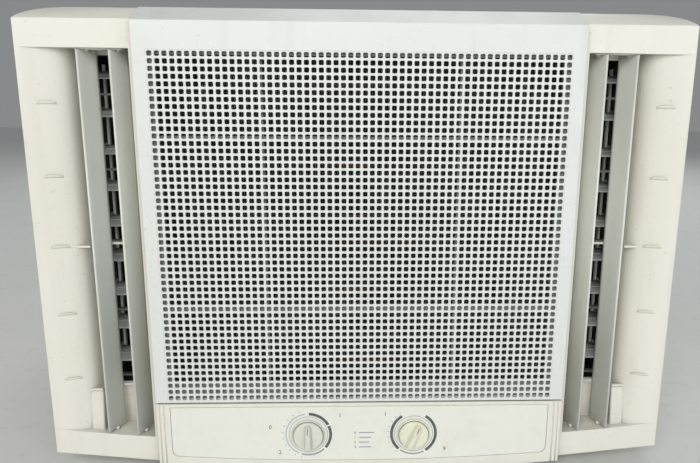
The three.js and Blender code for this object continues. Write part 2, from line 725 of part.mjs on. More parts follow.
// A pressed pedestal with a cradle for the motor.
function motorBracket() {
  const { half, front, rear, wall, footHalf, footFront, footRear } = BRACKET;
  const floor = PAN.floor + PAN.thick + GAP;
  const pedestal = box(-half, half, front, rear, floor, AXIS_Z - 6);
  const hollow = box(wall - half, half - wall, front + wall + 1, rear + 1, floor + 8, AXIS_Z);
  const foot = box(-footHalf, footHalf, footFront, footRear, floor, floor + wall + 1);
  const cradle = rod("y", MOTOR.radius + GAP, front - 12, rear + 18, [0, AXIS_Z], 20);
  const window = box(-50, 50, front - 12, rear + 18, 30, 140);
  return cut(join(cut(pedestal, hollow), foot), cradle, window);
}

function fanShroud() {
  const { half, front, rear, low, high, wall, throat, collar } = SHROUD;
  const shell = cut(
    box(-half, half, front, rear, low, high),
    box(wall - half, half - wall, front + wall, rear + 1, low + wall, high - wall),
  );
  const ringWall = rod("y", throat + wall + 1, front - collar, front + 1, [0, AXIS_Z], 32);
  const throatHole = rod("y", throat, front - collar - 1, front + wall + 1, [0, AXIS_Z], 32);
  return cut(join(shell, ringWall), throatHole);
}

function compressor() {
  const { x, y, radius, low, high } = COMPRESSOR;
  const profile = [
    [0, low],
    [radius * 0.7, low + 5],
    [radius, low + 24],
    [radius, high - 34],
    [radius * 0.93, high - 16],
    [radius * 0.6, high - 3],
    [0, high],
  ];
  const plate = join(
    box(x - 74, x + 74, y - 18, y + 18, 27, 31),
    box(x - 18, x + 18, y - 18, y + 70, 27, 31),
  );
  const saddle = rod("z", radius * 0.8, 27, low + 12, [x, y], 16);
  const terminals = box(x + radius - 8, x + radius + 16, y - 22, y + 22, 170, 214);
  return join(turn(profile, "z", [x, y], 24), plate, saddle, terminals);
}

function accumulator() {
  const { x, y, radius, low, high } = ACCUMULATOR;
  const profile = [[0, low], [radius - 6, low + 3], [radius, low + 16]];
  const upper = profile.map(([r, z]) => [r, low + high - z]).reverse();
  return turn([...profile, ...upper], "z", [x, y], 14);
}

function filterDrier() {
  const { x, y, radius, low, high } = DRIER;
  const profile = [[0, low], [radius - 4, low + 2], [radius, low + 12]];
  const upper = profile.map(([r, z]) => [r, low + high - z]).reverse();
  return turn([...profile, ...upper], "z", [x, y], 10);
}

// Hot gas from the top of the compressor to the condenser's end plate.
function dischargePipe() {
  const { x, y, high } = COMPRESSOR;
  return pipe(
    [
      [x, y, high + 0.6],
      [x, y, high + 26],
      [x - 30, y + 20, high + 44],
      [-SIDE_RUN, y + 80, high + 52],
      [-SIDE_RUN, 470, high + 56],
      [-SIDE_RUN, 520, high + 60],
      [-SIDE_RUN + 6, 533, high + 60],
      [-253.5, 534, high + 60],
    ],
    THICK_PIPE_R,
    26,
  );
}

// Cold gas from the evaporator, under the blower housing, to the foot of the accumulator.
function suctionPipe() {
  const { x, y, low } = ACCUMULATOR;
  return pipe(
    [
      [-193.4, 62, 130],
      [-196.6, 62, 126],
      [-197.6, 62, 112],
      [-197.6, 64, 66],
      [-PIPE_X, 84, PIPE_Z],
      [-PIPE_X, 140, PIPE_Z],
      [-PIPE_X, 205, PIPE_Z],
      [x, y - 2, PIPE_Z + 12],
      [x, y, low - 14],
      [x, y, low - 0.6],
    ],
    THICK_PIPE_R,
    30,
  );
}

// Liquid from the drier, under the blower housing, to the evaporator's other end.
function capillaryTube() {
  const { x, y, low } = DRIER;
  return pipe(
    [
      [x, y, low - 0.6],
      [x, y - 6, PIPE_Z + 14],
      [x, y - 60, PIPE_Z],
      [PIPE_X, 240, PIPE_Z],
      [PIPE_X, 140, PIPE_Z],
      [PIPE_X, 84, PIPE_Z],
      [197.6, 64, 66],
      [197.6, 62, 112],
      [196.6, 62, 126],
      [193.4, 62, 130],
    ],
    THIN_PIPE_R,
    30,
  );
}

// ---------------------------------------------------------------- assembly

place("outer_cabinet", outerCabinet(), FINISH.paint());
place("base_pan", basePan(), FINISH.zinc());
place("rear_guard", rearGuard(), FINISH.paint());
place("inlet_grommet", inletGrommet(), FINISH.black());
place("front_frame", frontFrame(), FINISH.cream());
place("intake_grille", intakeGrille(), FINISH.white());
place("air_filter", airFilter(), FINISH.filter());

place("control_fascia", controlFascia(), FINISH.cream());
place("control_label", controlLabel(), FINISH.label());
place("control_box", controlBox(), FINISH.zinc());
place("selector_switch", rotarySwitch(-KNOB.x, 20), FINISH.dark());
place("thermostat", rotarySwitch(KNOB.x, 16), FINISH.zinc());
place("run_capacitor", runCapacitor(), FINISH.fins());
place("mode_spindle", spindle(-KNOB.x), FINISH.zinc());
place("thermostat_spindle", spindle(KNOB.x), FINISH.zinc());
const modeKnob = place("mode_knob", knob(), FINISH.knob());
modeKnob.position.set(-KNOB.x, 0, KNOB.z);
const thermostatKnob = place("thermostat_knob", knob(), FINISH.knob());
thermostatKnob.position.set(KNOB.x, 0, KNOB.z);
thermostatKnob.rotation.y = radians(KNOB.lean);

outlet("left", -1);
outlet("right", 1);

place("evaporator_coil", coil(EVAPORATOR), FINISH.fins());
place("blower_housing", blowerHousing(), FINISH.dark());
place("bulkhead", bulkhead(), FINISH.zinc());
place("blower_wheel", blowerWheel(), FINISH.dark());
place("motor_shaft", motorShaft(), FINISH.zinc());
place("fan_motor", fanMotor(), FINISH.zinc());
place("motor_bracket", motorBracket(), FINISH.zinc());
place("condenser_fan", condenserFan(), FINISH.dark());
place("fan_shroud", fanShroud(), FINISH.zinc());
place("condenser_coil", coil(CONDENSER), FINISH.fins());
place("compressor", compressor(), FINISH.black());
place("suction_accumulator", accumulator(), FINISH.black());
place("filter_drier", filterDrier(), FINISH.copper());
place("discharge_pipe", dischargePipe(), FINISH.copper());
place("suction_pipe", suctionPipe(), FINISH.copper());
place("capillary_tube", capillaryTube(), FINISH.copper());

export default assembly;
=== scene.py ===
"""Looks of a window air conditioner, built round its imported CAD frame.

Everything is in metres in the frame's own axes: +X to the right of someone facing the front, +Y to the
rear, +Z up, with the origin at the centre of the base. Each sub-assembly is a class that holds its sizes
in millimetres, builds its meshes in place and dresses them.
"""

from __future__ import annotations

import json
import logging
import math
from dataclasses import dataclass, field
from enum import Enum
from functools import cache
from typing import Any, Sequence

import bmesh
import bpy
from mathutils import Matrix, Vector

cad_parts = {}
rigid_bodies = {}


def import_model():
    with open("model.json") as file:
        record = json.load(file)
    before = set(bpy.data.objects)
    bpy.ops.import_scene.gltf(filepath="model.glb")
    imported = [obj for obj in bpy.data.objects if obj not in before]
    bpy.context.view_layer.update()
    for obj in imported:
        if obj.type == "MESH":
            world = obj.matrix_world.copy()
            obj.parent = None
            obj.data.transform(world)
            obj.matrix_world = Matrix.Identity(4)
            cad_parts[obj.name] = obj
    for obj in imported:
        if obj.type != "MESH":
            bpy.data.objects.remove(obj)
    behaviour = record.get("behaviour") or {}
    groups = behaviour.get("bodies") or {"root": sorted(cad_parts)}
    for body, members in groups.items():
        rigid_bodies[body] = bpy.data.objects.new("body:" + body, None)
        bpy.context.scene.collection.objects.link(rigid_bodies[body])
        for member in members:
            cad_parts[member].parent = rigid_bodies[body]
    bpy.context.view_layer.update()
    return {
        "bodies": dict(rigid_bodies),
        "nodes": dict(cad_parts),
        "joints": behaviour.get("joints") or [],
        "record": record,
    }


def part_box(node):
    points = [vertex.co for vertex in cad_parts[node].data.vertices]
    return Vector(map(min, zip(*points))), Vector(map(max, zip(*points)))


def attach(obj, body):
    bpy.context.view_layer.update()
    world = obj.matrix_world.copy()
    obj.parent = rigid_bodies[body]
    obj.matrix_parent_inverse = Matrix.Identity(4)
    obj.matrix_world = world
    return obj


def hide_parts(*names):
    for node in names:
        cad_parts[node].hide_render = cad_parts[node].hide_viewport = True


MM = 0.001

log = logging.getLogger("window_air_conditioner")

Outline = Sequence[tuple[float, float]]
Point = tuple[float, float, float]


class Side(Enum):
    """The two sides of the front, with the sign of X on each."""

    LEFT = -1
    RIGHT = 1

    @property
    def word(self) -> str:
        """Returns the side's name in lower case."""
        return self.name.lower()


class Axis(Enum):
    """The axis that an outline is pushed along."""

    X = 0
    Y = 1
    Z = 2


# ---------------------------------------------------------------- places


@cache
def face_y() -> float:
    """Returns the Y of the intake grille's face."""
    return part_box("intake_grille")[0].y


def front(depth: float) -> float:
    """Returns the Y of a depth in mm behind the intake grille's face."""
    return face_y() + depth * MM


def at(x: float, depth: float, z: float) -> Vector:
    """Returns the point at X and Z in mm and at a depth in mm behind the intake grille's face."""
    return Vector((x * MM, front(depth), z * MM))


# ---------------------------------------------------------------- nodes


def add_node(tree: bpy.types.NodeTree, kind: str, inputs: dict | None = None, **settings: Any) -> bpy.types.Node:
    """Adds a node with its settings, its values and its links.

    Args:
        tree: the shader or geometry tree that takes the node.
        kind: the node's Blender type.
        inputs: a value or another node's output socket for each input, by name or number.
        settings: the node's own attributes, set before its inputs.

    Returns:
        The new node.
    """
    node = tree.nodes.new(kind)
    for name, value in settings.items():
        setattr(node, name, value)
    for key, value in (inputs or {}).items():
        socket = node.inputs[key]
        if isinstance(value, bpy.types.NodeSocket):
            tree.links.new(value, socket)
        else:
            socket.default_value = value
    return node


def linear(code: str) -> tuple[float, float, float, float]:
    """Turns an sRGB hex colour into linear RGBA.

    Args:
        code: six hex digits, with or without a leading #.

    Returns:
        Linear red, green, blue and an alpha of 1.
    """
    parts = [int(code.lstrip("#")[i : i + 2], 16) / 255 for i in (0, 2, 4)]
    curve = [p / 12.92 if p <= 0.04045 else ((p + 0.055) / 1.055) ** 2.4 for p in parts]
    return (*curve, 1.0)


def per(size_mm: float) -> float:
    """Returns a texture scale that gives features of this size in mm on Object coordinates."""
    return 1 / (size_mm * MM)


# ---------------------------------------------------------------- finishes


@dataclass(frozen=True)
class Finish:
    """A surface: what it's made of and how it was made.

    The subclass adds the pattern. Values that are the same all over are set on the shader's sockets.
    """

    name: str
    colour: str
    roughness: float
    ior: float = 1.5
    metallic: float = 0.0

    def material(self) -> bpy.types.Material:
        """Returns this finish's material, which is made the first time it's asked for."""
        found = bpy.data.materials.get(self.name)
        if found:
            return found
        material = bpy.data.materials.new(self.name)
        material.use_nodes = True
        material.diffuse_color = linear(self.colour)
        tree = material.node_tree
        tree.nodes.clear()
        base = {"Base Color": linear(self.colour), "Roughness": self.roughness}
        base |= {"Metallic": self.metallic, "IOR": self.ior}
        shader = add_node(tree, "ShaderNodeBsdfPrincipled", base)
        add_node(tree, "ShaderNodeOutputMaterial", {"Surface": shader.outputs["BSDF"]})
        place = add_node(tree, "ShaderNodeTexCoord").outputs["Object"]
        self.dress(tree, shader, place)
        return material

    def dress(self, tree: bpy.types.NodeTree, shader: bpy.types.Node, place: bpy.types.NodeSocket) -> None:
        """Adds the pattern; a subclass does this."""
        raise NotImplementedError

    def patches(
        self,
        tree: bpy.types.NodeTree,
        place: bpy.types.NodeSocket,
        size_mm: float,
        span: tuple[float, float],
        strength: float,
        stretch: Point = (1.0, 1.0, 1.0),
    ) -> bpy.types.NodeSocket:
        """Makes soft irregular patches.

        Args:
            tree: the material's tree.
            place: the coordinates.
            size_mm: how far apart the patches are.
            span: the noise levels at which a patch begins and is full.
            strength: the value of a full patch.
            stretch: how much finer the pattern is along each axis.

        Returns:
            A socket from 0 to strength.
        """
        mapped = add_node(tree, "ShaderNodeMapping", {"Vector": place, "Scale": stretch}).outputs["Vector"]
        noise = add_node(tree, "ShaderNodeTexNoise", {"Vector": mapped, "Scale": per(size_mm), "Detail": 3.0})
        levels = {"Value": noise.outputs["Fac"], "From Min": span[0], "From Max": span[1], "To Max": strength}
        return add_node(tree, "ShaderNodeMapRange", levels).outputs["Result"]

    def blend(
        self, tree: bpy.types.NodeTree, share: bpy.types.NodeSocket, under: Any, over: Any
    ) -> bpy.types.NodeSocket:
        """Returns the colour socket that goes from under to over as share goes from 0 to 1."""
        return add_node(tree, "ShaderNodeMix", {0: share, 6: under, 7: over}, data_type="RGBA").outputs[2]

    def corners(self, tree: bpy.types.NodeTree, reach_mm: float, strength: float) -> bpy.types.NodeSocket:
        """Finds corners and recesses by ambient occlusion, where painted shade is laid (and dust, where the colour laid
        there is paler).

        Args:
            tree: the material's tree.
            reach_mm: how far the painted corner shade spreads from a corner.
            strength: the value in the deepest corner.

        Returns:
            A socket from 0 in the open to strength in a corner.
        """
        # ambient occlusion: this mask paints shade into corners and recesses
        open_sky = add_node(tree, "ShaderNodeAmbientOcclusion", {"Distance": reach_mm * MM}, samples=4)
        levels = {"Value": open_sky.outputs["AO"], "From Min": 0.25, "From Max": 0.8, "To Min": strength, "To Max": 0.0}
        return add_node(tree, "ShaderNodeMapRange", levels).outputs["Result"]

    def relief(
        self, tree: bpy.types.NodeTree, shader: bpy.types.Node, height: bpy.types.NodeSocket, depth_mm: float
    ) -> None:
        """Gives the shader a bump of this height socket, with its full depth in mm."""
        bump = add_node(tree, "ShaderNodeBump", {"Height": height, "Distance": depth_mm * MM, "Strength": 0.6})
        tree.links.new(bump.outputs["Normal"], shader.inputs["Normal"])

    def vary_roughness(
        self, tree: bpy.types.NodeTree, shader: bpy.types.Node, place: bpy.types.NodeSocket, size_mm: float, by: float
    ) -> None:
        """Lets the roughness wander by this much each way, over patches of this size."""
        noise = add_node(tree, "ShaderNodeTexNoise", {"Vector": place, "Scale": per(size_mm), "Detail": 2.0})
        low, high = max(self.roughness - by, 0.02), min(self.roughness + by, 1.0)
        levels = {"Value": noise.outputs["Fac"], "From Min": 0.3, "From Max": 0.7, "To Min": low, "To Max": high}
        spread = add_node(tree, "ShaderNodeMapRange", levels)
        tree.links.new(spread.outputs["Result"], shader.inputs["Roughness"])


@dataclass(frozen=True)
class MouldedPlastic(Finish):
    """Injection-moulded ABS or styrene with a fine spark-eroded texture.

    The texture breaks the highlight up softly. Old white plastic also yellows in broad patches, gathers
    grey dust, and gets painted shade in its corners in the dust colour.
    """

    stain: str = "dedac8"
    stain_share: float = 0.35
    # dust colour: laid as specks and runs, and as painted shade in corners; the share and reach below set that shade
    dust: str = "8d8b80"
    dust_share: float = 0.5
    dust_reach: float = 14.0
    grain_mm: float = 0.9
    ior: float = 1.53

    def dress(self, tree: bpy.types.NodeTree, shader: bpy.types.Node, place: bpy.types.NodeSocket) -> None:
        """Adds yellowed patches, dust scuffs and runs, painted shade in corners (grey dust on black plastic), and the
        moulded grain.
        """
        yellowed = self.patches(tree, place, 160, (0.42, 0.7), self.stain_share)
        colour = self.blend(tree, yellowed, linear(self.colour), linear(self.stain))
        specks = self.patches(tree, place, 4, (0.66, 0.76), 0.22)
        colour = self.blend(tree, specks, colour, linear(self.dust))
        runs = self.patches(tree, place, 30, (0.56, 0.8), 0.12, stretch=(1.6, 1.6, 0.25))
        colour = self.blend(tree, runs, colour, linear(self.dust))
        # painted shade: ambient occlusion darkens corners and recesses towards the dust colour; on black plastic it
        # greys them, as dust
        corner = self.corners(tree, self.dust_reach, self.dust_share)
        colour = self.blend(tree, corner, colour, linear(self.dust))
        tree.links.new(colour, shader.inputs["Base Color"])
        self.vary_roughness(tree, shader, place, 40, 0.07)
        # the eroded texture's real grain is about 0.1 mm; it's drawn coarser so that it shows
        grain = add_node(tree, "ShaderNodeTexNoise", {"Vector": place, "Scale": per(self.grain_mm), "Detail": 2.0})
        self.relief(tree, shader, grain.outputs["Fac"], 0.035)


@dataclass(frozen=True)
class BakedEnamel(Finish):
    """Steel sheet with a sprayed and baked coat.

    The coat has a faint orange-peel ripple, chips down to rust here and there, runs of dust, and painted shade in its
    corners.
    """

    rust: str = "7a4a2a"
    # grime colour: laid as dust runs, and as painted shade in corners
    grime: str = "8b887a"
    grime_share: float = 0.35
    peel_mm: float = 2.4

    def dress(self, tree: bpy.types.NodeTree, shader: bpy.types.Node, place: bpy.types.NodeSocket) -> None:
        """Adds dust runs, painted shade in corners (grey dust on the black coat), rust chips and orange peel."""
        runs = self.patches(tree, place, 45, (0.5, 0.8), self.grime_share, stretch=(2.0, 2.0, 0.3))
        colour = self.blend(tree, runs, linear(self.colour), linear(self.grime))
        # painted shade: ambient occlusion darkens corners towards the grime colour; on the black coat it greys them, as
        # dust
        corner = self.corners(tree, 12, self.grime_share)
        colour = self.blend(tree, corner, colour, linear(self.grime))
        chips = self.patches(tree, place, 9, (0.745, 0.765), 0.8)
        colour = self.blend(tree, chips, colour, linear(self.rust))
        tree.links.new(colour, shader.inputs["Base Color"])
        self.vary_roughness(tree, shader, place, 35, 0.08)
        peel = add_node(tree, "ShaderNodeTexNoise", {"Vector": place, "Scale": per(self.peel_mm), "Detail": 1.0})
        self.relief(tree, shader, peel.outputs["Fac"], 0.05)


@dataclass(frozen=True)
class GalvanisedSheet(Finish):
    """Hot-dip galvanised steel: zinc freezes in crystals a few mm across, each with its own sheen."""

    spangle_mm: float = 9.0
    bloom: str = "d5d6d2"
    metallic: float = 0.9

    def dress(self, tree: bpy.types.NodeTree, shader: bpy.types.Node, place: bpy.types.NodeSocket) -> None:
        """Adds spangle, white bloom and a sheen for each crystal."""
        cells = add_node(tree, "ShaderNodeTexVoronoi", {"Vector": place, "Scale": per(self.spangle_mm)})
        tone = add_node(tree, "ShaderNodeSeparateColor", {"Color": cells.outputs["Color"]}).outputs["Red"]
        darker = tuple(c * 0.72 for c in linear(self.colour)[:3]) + (1.0,)
        colour = self.blend(tree, tone, darker, linear(self.colour))
        bloom = self.patches(tree, place, 50, (0.55, 0.8), 0.5)
        colour = self.blend(tree, bloom, colour, linear(self.bloom))
        tree.links.new(colour, shader.inputs["Base Color"])
        levels = {"Value": tone, "To Min": self.roughness - 0.08, "To Max": self.roughness + 0.12}
        sheen = add_node(tree, "ShaderNodeMapRange", levels)
        tree.links.new(sheen.outputs["Result"], shader.inputs["Roughness"])
        self.relief(tree, shader, cells.outputs["Distance"], 0.02)


@dataclass(frozen=True)
class RolledFoil(Finish):
    """Rolled aluminium fin stock, with fine ripples pressed across the fin and dust on its edges."""

    ripple_mm: float = 3.2
    dust: str = "7d7a72"
    metallic: float = 0.85

    def dress(self, tree: bpy.types.NodeTree, shader: bpy.types.Node, place: bpy.types.NodeSocket) -> None:
        """Adds dust patches and pressed ripples."""
        dusty = self.patches(tree, place, 60, (0.4, 0.75), 0.65)
        colour = self.blend(tree, dusty, linear(self.colour), linear(self.dust))
        tree.links.new(colour, shader.inputs["Base Color"])
        self.vary_roughness(tree, shader, place, 25, 0.12)
        ripple = {"Vector": place, "Scale": per(self.ripple_mm) / 20, "Distortion": 0.4}
        wave = add_node(tree, "ShaderNodeTexWave", ripple, wave_type="BANDS", bands_direction="Z")
        self.relief(tree, shader, wave.outputs["Fac"], 0.12)


@dataclass(frozen=True)
class DrawnMetal(Finish):
    """Bare drawn or turned metal: faint marks round it, and tarnish in clouds."""

    tarnish: str = "5a4a3c"
    tarnish_share: float = 0.5
    metallic: float = 1.0

    def dress(self, tree: bpy.types.NodeTree, shader: bpy.types.Node, place: bpy.types.NodeSocket) -> None:
        """Adds tarnish clouds and drawing marks."""
        clouds = self.patches(tree, place, 18, (0.45, 0.75), self.tarnish_share)
        colour = self.blend(tree, clouds, linear(self.colour), linear(self.tarnish))
        tree.links.new(colour, shader.inputs["Base Color"])
        self.vary_roughness(tree, shader, place, 12, 0.1)
        marks = self.patches(tree, place, 1.6, (0.3, 0.7), 1.0, stretch=(1.0, 6.0, 1.0))
        self.relief(tree, shader, marks, 0.015)


@dataclass(frozen=True)
class MouldedRubber(Finish):
    """Black moulded rubber or foam: dead matt, with a pale bloom where it has dried out."""

    bloom: str = "3b3b3a"
    grain_mm: float = 1.4

    def dress(self, tree: bpy.types.NodeTree, shader: bpy.types.Node, place: bpy.types.NodeSocket) -> None:
        """Adds bloom and a pebbled grain."""
        bloom = self.patches(tree, place, 12, (0.4, 0.75), 0.8)
        tree.links.new(self.blend(tree, bloom, linear(self.colour), linear(self.bloom)), shader.inputs["Base Color"])
        self.vary_roughness(tree, shader, place, 15, 0.06)
        grain = add_node(tree, "ShaderNodeTexNoise", {"Vector": place, "Scale": per(self.grain_mm), "Detail": 2.0})
        self.relief(tree, shader, grain.outputs["Fac"], 0.06)


@dataclass(frozen=True)
class KnittedNet(Finish):
    """Polypropylene filter net: waxy threads that have gone grey with lint."""

    lint: str = "77756c"
    thread_mm: float = 0.8

    def dress(self, tree: bpy.types.NodeTree, shader: bpy.types.Node, place: bpy.types.NodeSocket) -> None:
        """Adds lint in clouds and a twist along the threads."""
        lint = self.patches(tree, place, 45, (0.4, 0.72), 0.7)
        tree.links.new(self.blend(tree, lint, linear(self.colour), linear(self.lint)), shader.inputs["Base Color"])
        self.vary_roughness(tree, shader, place, 20, 0.08)
        twist = add_node(tree, "ShaderNodeTexNoise", {"Vector": place, "Scale": per(self.thread_mm), "Detail": 1.0})
        self.relief(tree, shader, twist.outputs["Fac"], 0.08)


@dataclass(frozen=True)
class PrintedFilm(Finish):
    """Polycarbonate label film or its ink: smooth and satin, a little uneven where it is stuck down."""

    wear: str = "d8d8cc"
    wear_share: float = 0.25
    ior: float = 1.58

    def dress(self, tree: bpy.types.NodeTree, shader: bpy.types.Node, place: bpy.types.NodeSocket) -> None:
        """Adds rubbed patches and the film's slow ripple."""
        rubbed = self.patches(tree, place, 14, (0.5, 0.78), self.wear_share)
        tree.links.new(self.blend(tree, rubbed, linear(self.colour), linear(self.wear)), shader.inputs["Base Color"])
        self.vary_roughness(tree, shader, place, 30, 0.05)
        ripple = add_node(tree, "ShaderNodeTexNoise", {"Vector": place, "Scale": per(25), "Detail": 1.0})
        self.relief(tree, shader, ripple.outputs["Fac"], 0.03)


# ABS shell, aged to ivory by daylight, with deep painted shade in its recesses and scoop throats
IVORY_ABS = MouldedPlastic("ivory_abs_moulding", "ebeae0", 0.42, dust_share=0.6, dust_reach=22)
# the intake panel stayed cooler in colour than the shell round it, with lighter painted shade in its corners
WHITE_ABS = MouldedPlastic("white_abs_panel", "e5e7e5", 0.4, stain="dadcd5", stain_share=0.3, dust_share=0.3)
# vanes of the same plastic, lightly dusted with grey, with light painted shade in their corners
VANE_ABS = MouldedPlastic("grey_ivory_abs_vane", "e9ebe3", 0.42, stain="d6d8ce", dust="a5a69d", dust_share=0.25)
# blades, moulded in mid grey, and the duct behind them in a darker one; both get painted shade in their corners,
# reaching far into the duct
BLADE_ABS = MouldedPlastic("mid_grey_abs_blade", "b4b8b5", 0.5, stain="9da19c", dust="4a4b47", dust_reach=8)
DUCT_ABS = MouldedPlastic("dark_grey_abs_duct", "5d605c", 0.5, stain="4d4f4a", dust="2b2c2a", dust_reach=20)
# moulded polypropylene, near black and slightly grey where dust lies
BLACK_PLASTIC = MouldedPlastic("black_polypropylene", "1d1e20", 0.5, stain="2a2a28", dust="55524a", dust_share=0.4)
# polished tooling leaves the knobs glossier than the shell, and the thermostat's has yellowed; a little painted shade
# lies in their tight corners
KNOB_PLASTIC = MouldedPlastic("pearl_knob_plastic", "dfe0d4", 0.28, stain="cfd0bd", dust_reach=3, grain_mm=1.6)
YELLOWED_KNOB = MouldedPlastic("yellowed_knob_plastic", "eeeedb", 0.28, stain="e4e1bf", dust_reach=3, grain_mm=1.6)
# sprayed and baked coats: a soft sheen on the cabinet, a wet black one on the pressed shells; the cabinet's coat gets
# painted shade in its corners
CABINET_PAINT = BakedEnamel("ivory_baked_enamel", "d9d6c6", 0.38)
BLACK_ENAMEL = BakedEnamel("black_baked_enamel", "141416", 0.25, rust="5a3524", grime="4a4843", grime_share=0.5)
# dipped sheet shows its crystals; a plated screw is brighter, with hardly any
ZINC_SHEET = GalvanisedSheet("galvanised_steel_sheet", "aeb2b5", 0.42)
ZINC_SCREW = GalvanisedSheet("zinc_plated_screw", "c2c2bb", 0.3, spangle_mm=1.5)
# rolled foil gives a dull streaked silver
FIN_FOIL = RolledFoil("rolled_aluminium_fin_stock", "b9bdc0", 0.38)
# drawn and turned metals: bright along the draw, dulled by tarnish, the copper most of all
CAN_ALUMINIUM = DrawnMetal("drawn_aluminium_can", "c6c9cc", 0.3, tarnish="8e9092")
COPPER_TUBE = DrawnMetal("drawn_copper_tube", "a06d55", 0.4, tarnish="4c3226", tarnish_share=0.7)
GROUND_STEEL = DrawnMetal("ground_steel_bar", "a3a5a7", 0.3, tarnish="6d6a66", tarnish_share=0.3)
# moulded rubber scatters almost all its light, so it stays flat black
MOULDED_RUBBER = MouldedRubber("moulded_epdm_rubber", "111112", 0.85)
# a near-black net and its grey frame behind the intake holes: the net's near-black colour is painted shade for the deep
# holes, and the frame gets painted shade in its corners
FILTER_NET = KnittedNet("knitted_filter_net", "303433", 0.65)
FILTER_FRAME = MouldedPlastic("grey_filter_frame", "8f938d", 0.5, stain="7f8078", dust_reach=6)
# printed film, with a slight gloss, and inks worn thin in places
LABEL_FILM = PrintedFilm("ivory_label_film", "edeee4", 0.34)
GRAPHITE_INK = PrintedFilm("graphite_ink", "54595c", 0.45, wear="6f7475", wear_share=0.4)
PALE_INK = PrintedFilm("pale_blue_grey_ink", "bcc6cb", 0.45, wear="d0d6d6")
GREY_INK = PrintedFilm("mid_grey_ink", "979c9d", 0.45, wear="b4b7b5")


# ---------------------------------------------------------------- meshes


def piece(name: str, build: bmesh.types.BMesh, finish: Finish) -> bpy.types.Object:
    """Turns a finished BMesh into an object at the origin.

    Args:
        name: the piece's name.
        build: the mesh, in the row frame; it's freed.
        finish: what it's made of.

    Returns:
        The new object, linked to the scene.
    """
    mesh = bpy.data.meshes.new(name)
    build.to_mesh(mesh)
    build.free()
    mesh.materials.append(finish.material())
    made = bpy.data.objects.new(name, mesh)
    bpy.context.scene.collection.objects.link(made)
    return made


def hand_over(
    made: bpy.types.Object, body: str, stands_for: Sequence[str] = ()
) -> bpy.types.Object:
    """Makes a piece ride on its body, and hides the CAD nodes that it stands for.

    Args:
        made: the finished piece.
        body: the CAD body that it moves with.
        stands_for: CAD nodes that aren't shown any more.

    Returns:
        The same piece.
    """
    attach(made, body)
    if stands_for:
        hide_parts(*stands_for)
    log.info("%s: %d faces, on %s", made.name, len(made.data.polygons), body)
    return made


def outward(build: bmesh.types.BMesh) -> bmesh.types.BMesh:
    """Turns a closed mesh's faces outwards and returns it."""
    bmesh.ops.recalc_face_normals(build, faces=build.faces)
    return build


def soften(build: bmesh.types.BMesh, width_mm: float, segments: int = 2, sharp_deg: float = 28) -> bmesh.types.BMesh:
    """Rounds a mesh's sharp edges and shades its curved faces smooth, and leaves its flats flat.

    Args:
        build: the mesh.
        width_mm: how far back from the edge the rounding begins.
        segments: faces across each rounded edge.
        sharp_deg: the least angle that counts as an edge.

    Returns:
        The same mesh.
    """
    sharp = math.radians(sharp_deg)
    for face in build.faces:
        face.smooth = any(0.01 < edge.calc_face_angle(0) < sharp for edge in face.edges)
    edges = [edge for edge in build.edges if edge.calc_face_angle(0) >= sharp]
    rounded = bmesh.ops.bevel(
        build, geom=edges, offset=width_mm * MM, segments=segments, profile=0.5, affect="EDGES", clamp_overlap=True
    )
    for face in rounded["faces"]:
        face.smooth = True
    return build


def prism(outline: Outline, axis: Axis, low: float, high: float, scale: float = MM) -> bmesh.types.BMesh:
    """Pushes a closed outline along an axis.

    Args:
        outline: points in the other two axes, in X, Y, Z order; Y is a row coordinate in mm.
        axis: the axis that it's pushed along.
        low: where it begins on that axis.
        high: where it ends.
        scale: metres for each unit.

    Returns:
        A closed mesh.
    """
    build = bmesh.new()

    def ring(level: float) -> list[bmesh.types.BMVert]:
        corners = []
        for a, b in outline:
            values = [a, b]
            values.insert(axis.value, level)
            corners.append(build.verts.new(Vector(values) * scale))
        return corners

    first, last = ring(low), ring(high)
    build.faces.new(first)
    build.faces.new(last)
    for i in range(len(first)):
        j = (i + 1) % len(first)
        build.faces.new((first[i], first[j], last[j], last[i]))
    return outward(build)


def block(low: Point, high: Point) -> bmesh.types.BMesh:
    """Returns a closed box between two corners in mm, with Y as a row coordinate."""
    (x0, y0, z0), (x1, y1, z1) = low, high
    return prism([(x0, z0), (x1, z0), (x1, z1), (x0, z1)], Axis.Y, y0, y1)


def lathe(profile: Outline, sides: int) -> bmesh.types.BMesh:
    """Turns a profile of (radius, depth) points in mm round the Y axis.

    Args:
        profile: the points in order; a radius of 0 closes that end at a pole.
        sides: faces round the axis.

    Returns:
        A closed, smooth-shaded mesh. A profile that touches the axis at neither end is a closed ring.
    """
    build = bmesh.new()
    rings: list[list[bmesh.types.BMVert]] = []
    for radius, depth in profile:
        if radius == 0:
            rings.append([build.verts.new((0, depth * MM, 0))])
            continue
        turns = [2 * math.pi * i / sides for i in range(sides)]
        rings.append(
            [build.verts.new((radius * MM * math.sin(t), depth * MM, radius * MM * math.cos(t))) for t in turns]
        )
    pairs = list(zip(rings, rings[1:]))
    if profile[0][0] > 0:
        pairs.append((rings[-1], rings[0]))
    for one, two in pairs:
        for i in range(sides):
            j = (i + 1) % sides
            corners = [one[i % len(one)], one[j % len(one)], two[j % len(two)], two[i % len(two)]]
            build.faces.new(list(dict.fromkeys(corners)))
    for face in build.faces:
        face.smooth = True
    return outward(build)


def moved(build: bmesh.types.BMesh, place: Matrix) -> bmesh.types.BMesh:
    """Moves a mesh by a matrix, in the row frame, and returns it."""
    build.transform(place)
    if place.determinant() < 0:
        bmesh.ops.reverse_faces(build, faces=build.faces)
    return build


def together(*builds: bmesh.types.BMesh) -> bmesh.types.BMesh:
    """Puts several closed meshes in one, and frees them."""
    whole = bmesh.new()
    for build in builds:
        mesh = bpy.data.meshes.new("part")
        build.to_mesh(mesh)
        build.free()
        whole.from_mesh(mesh)
        bpy.data.meshes.remove(mesh)
    return whole


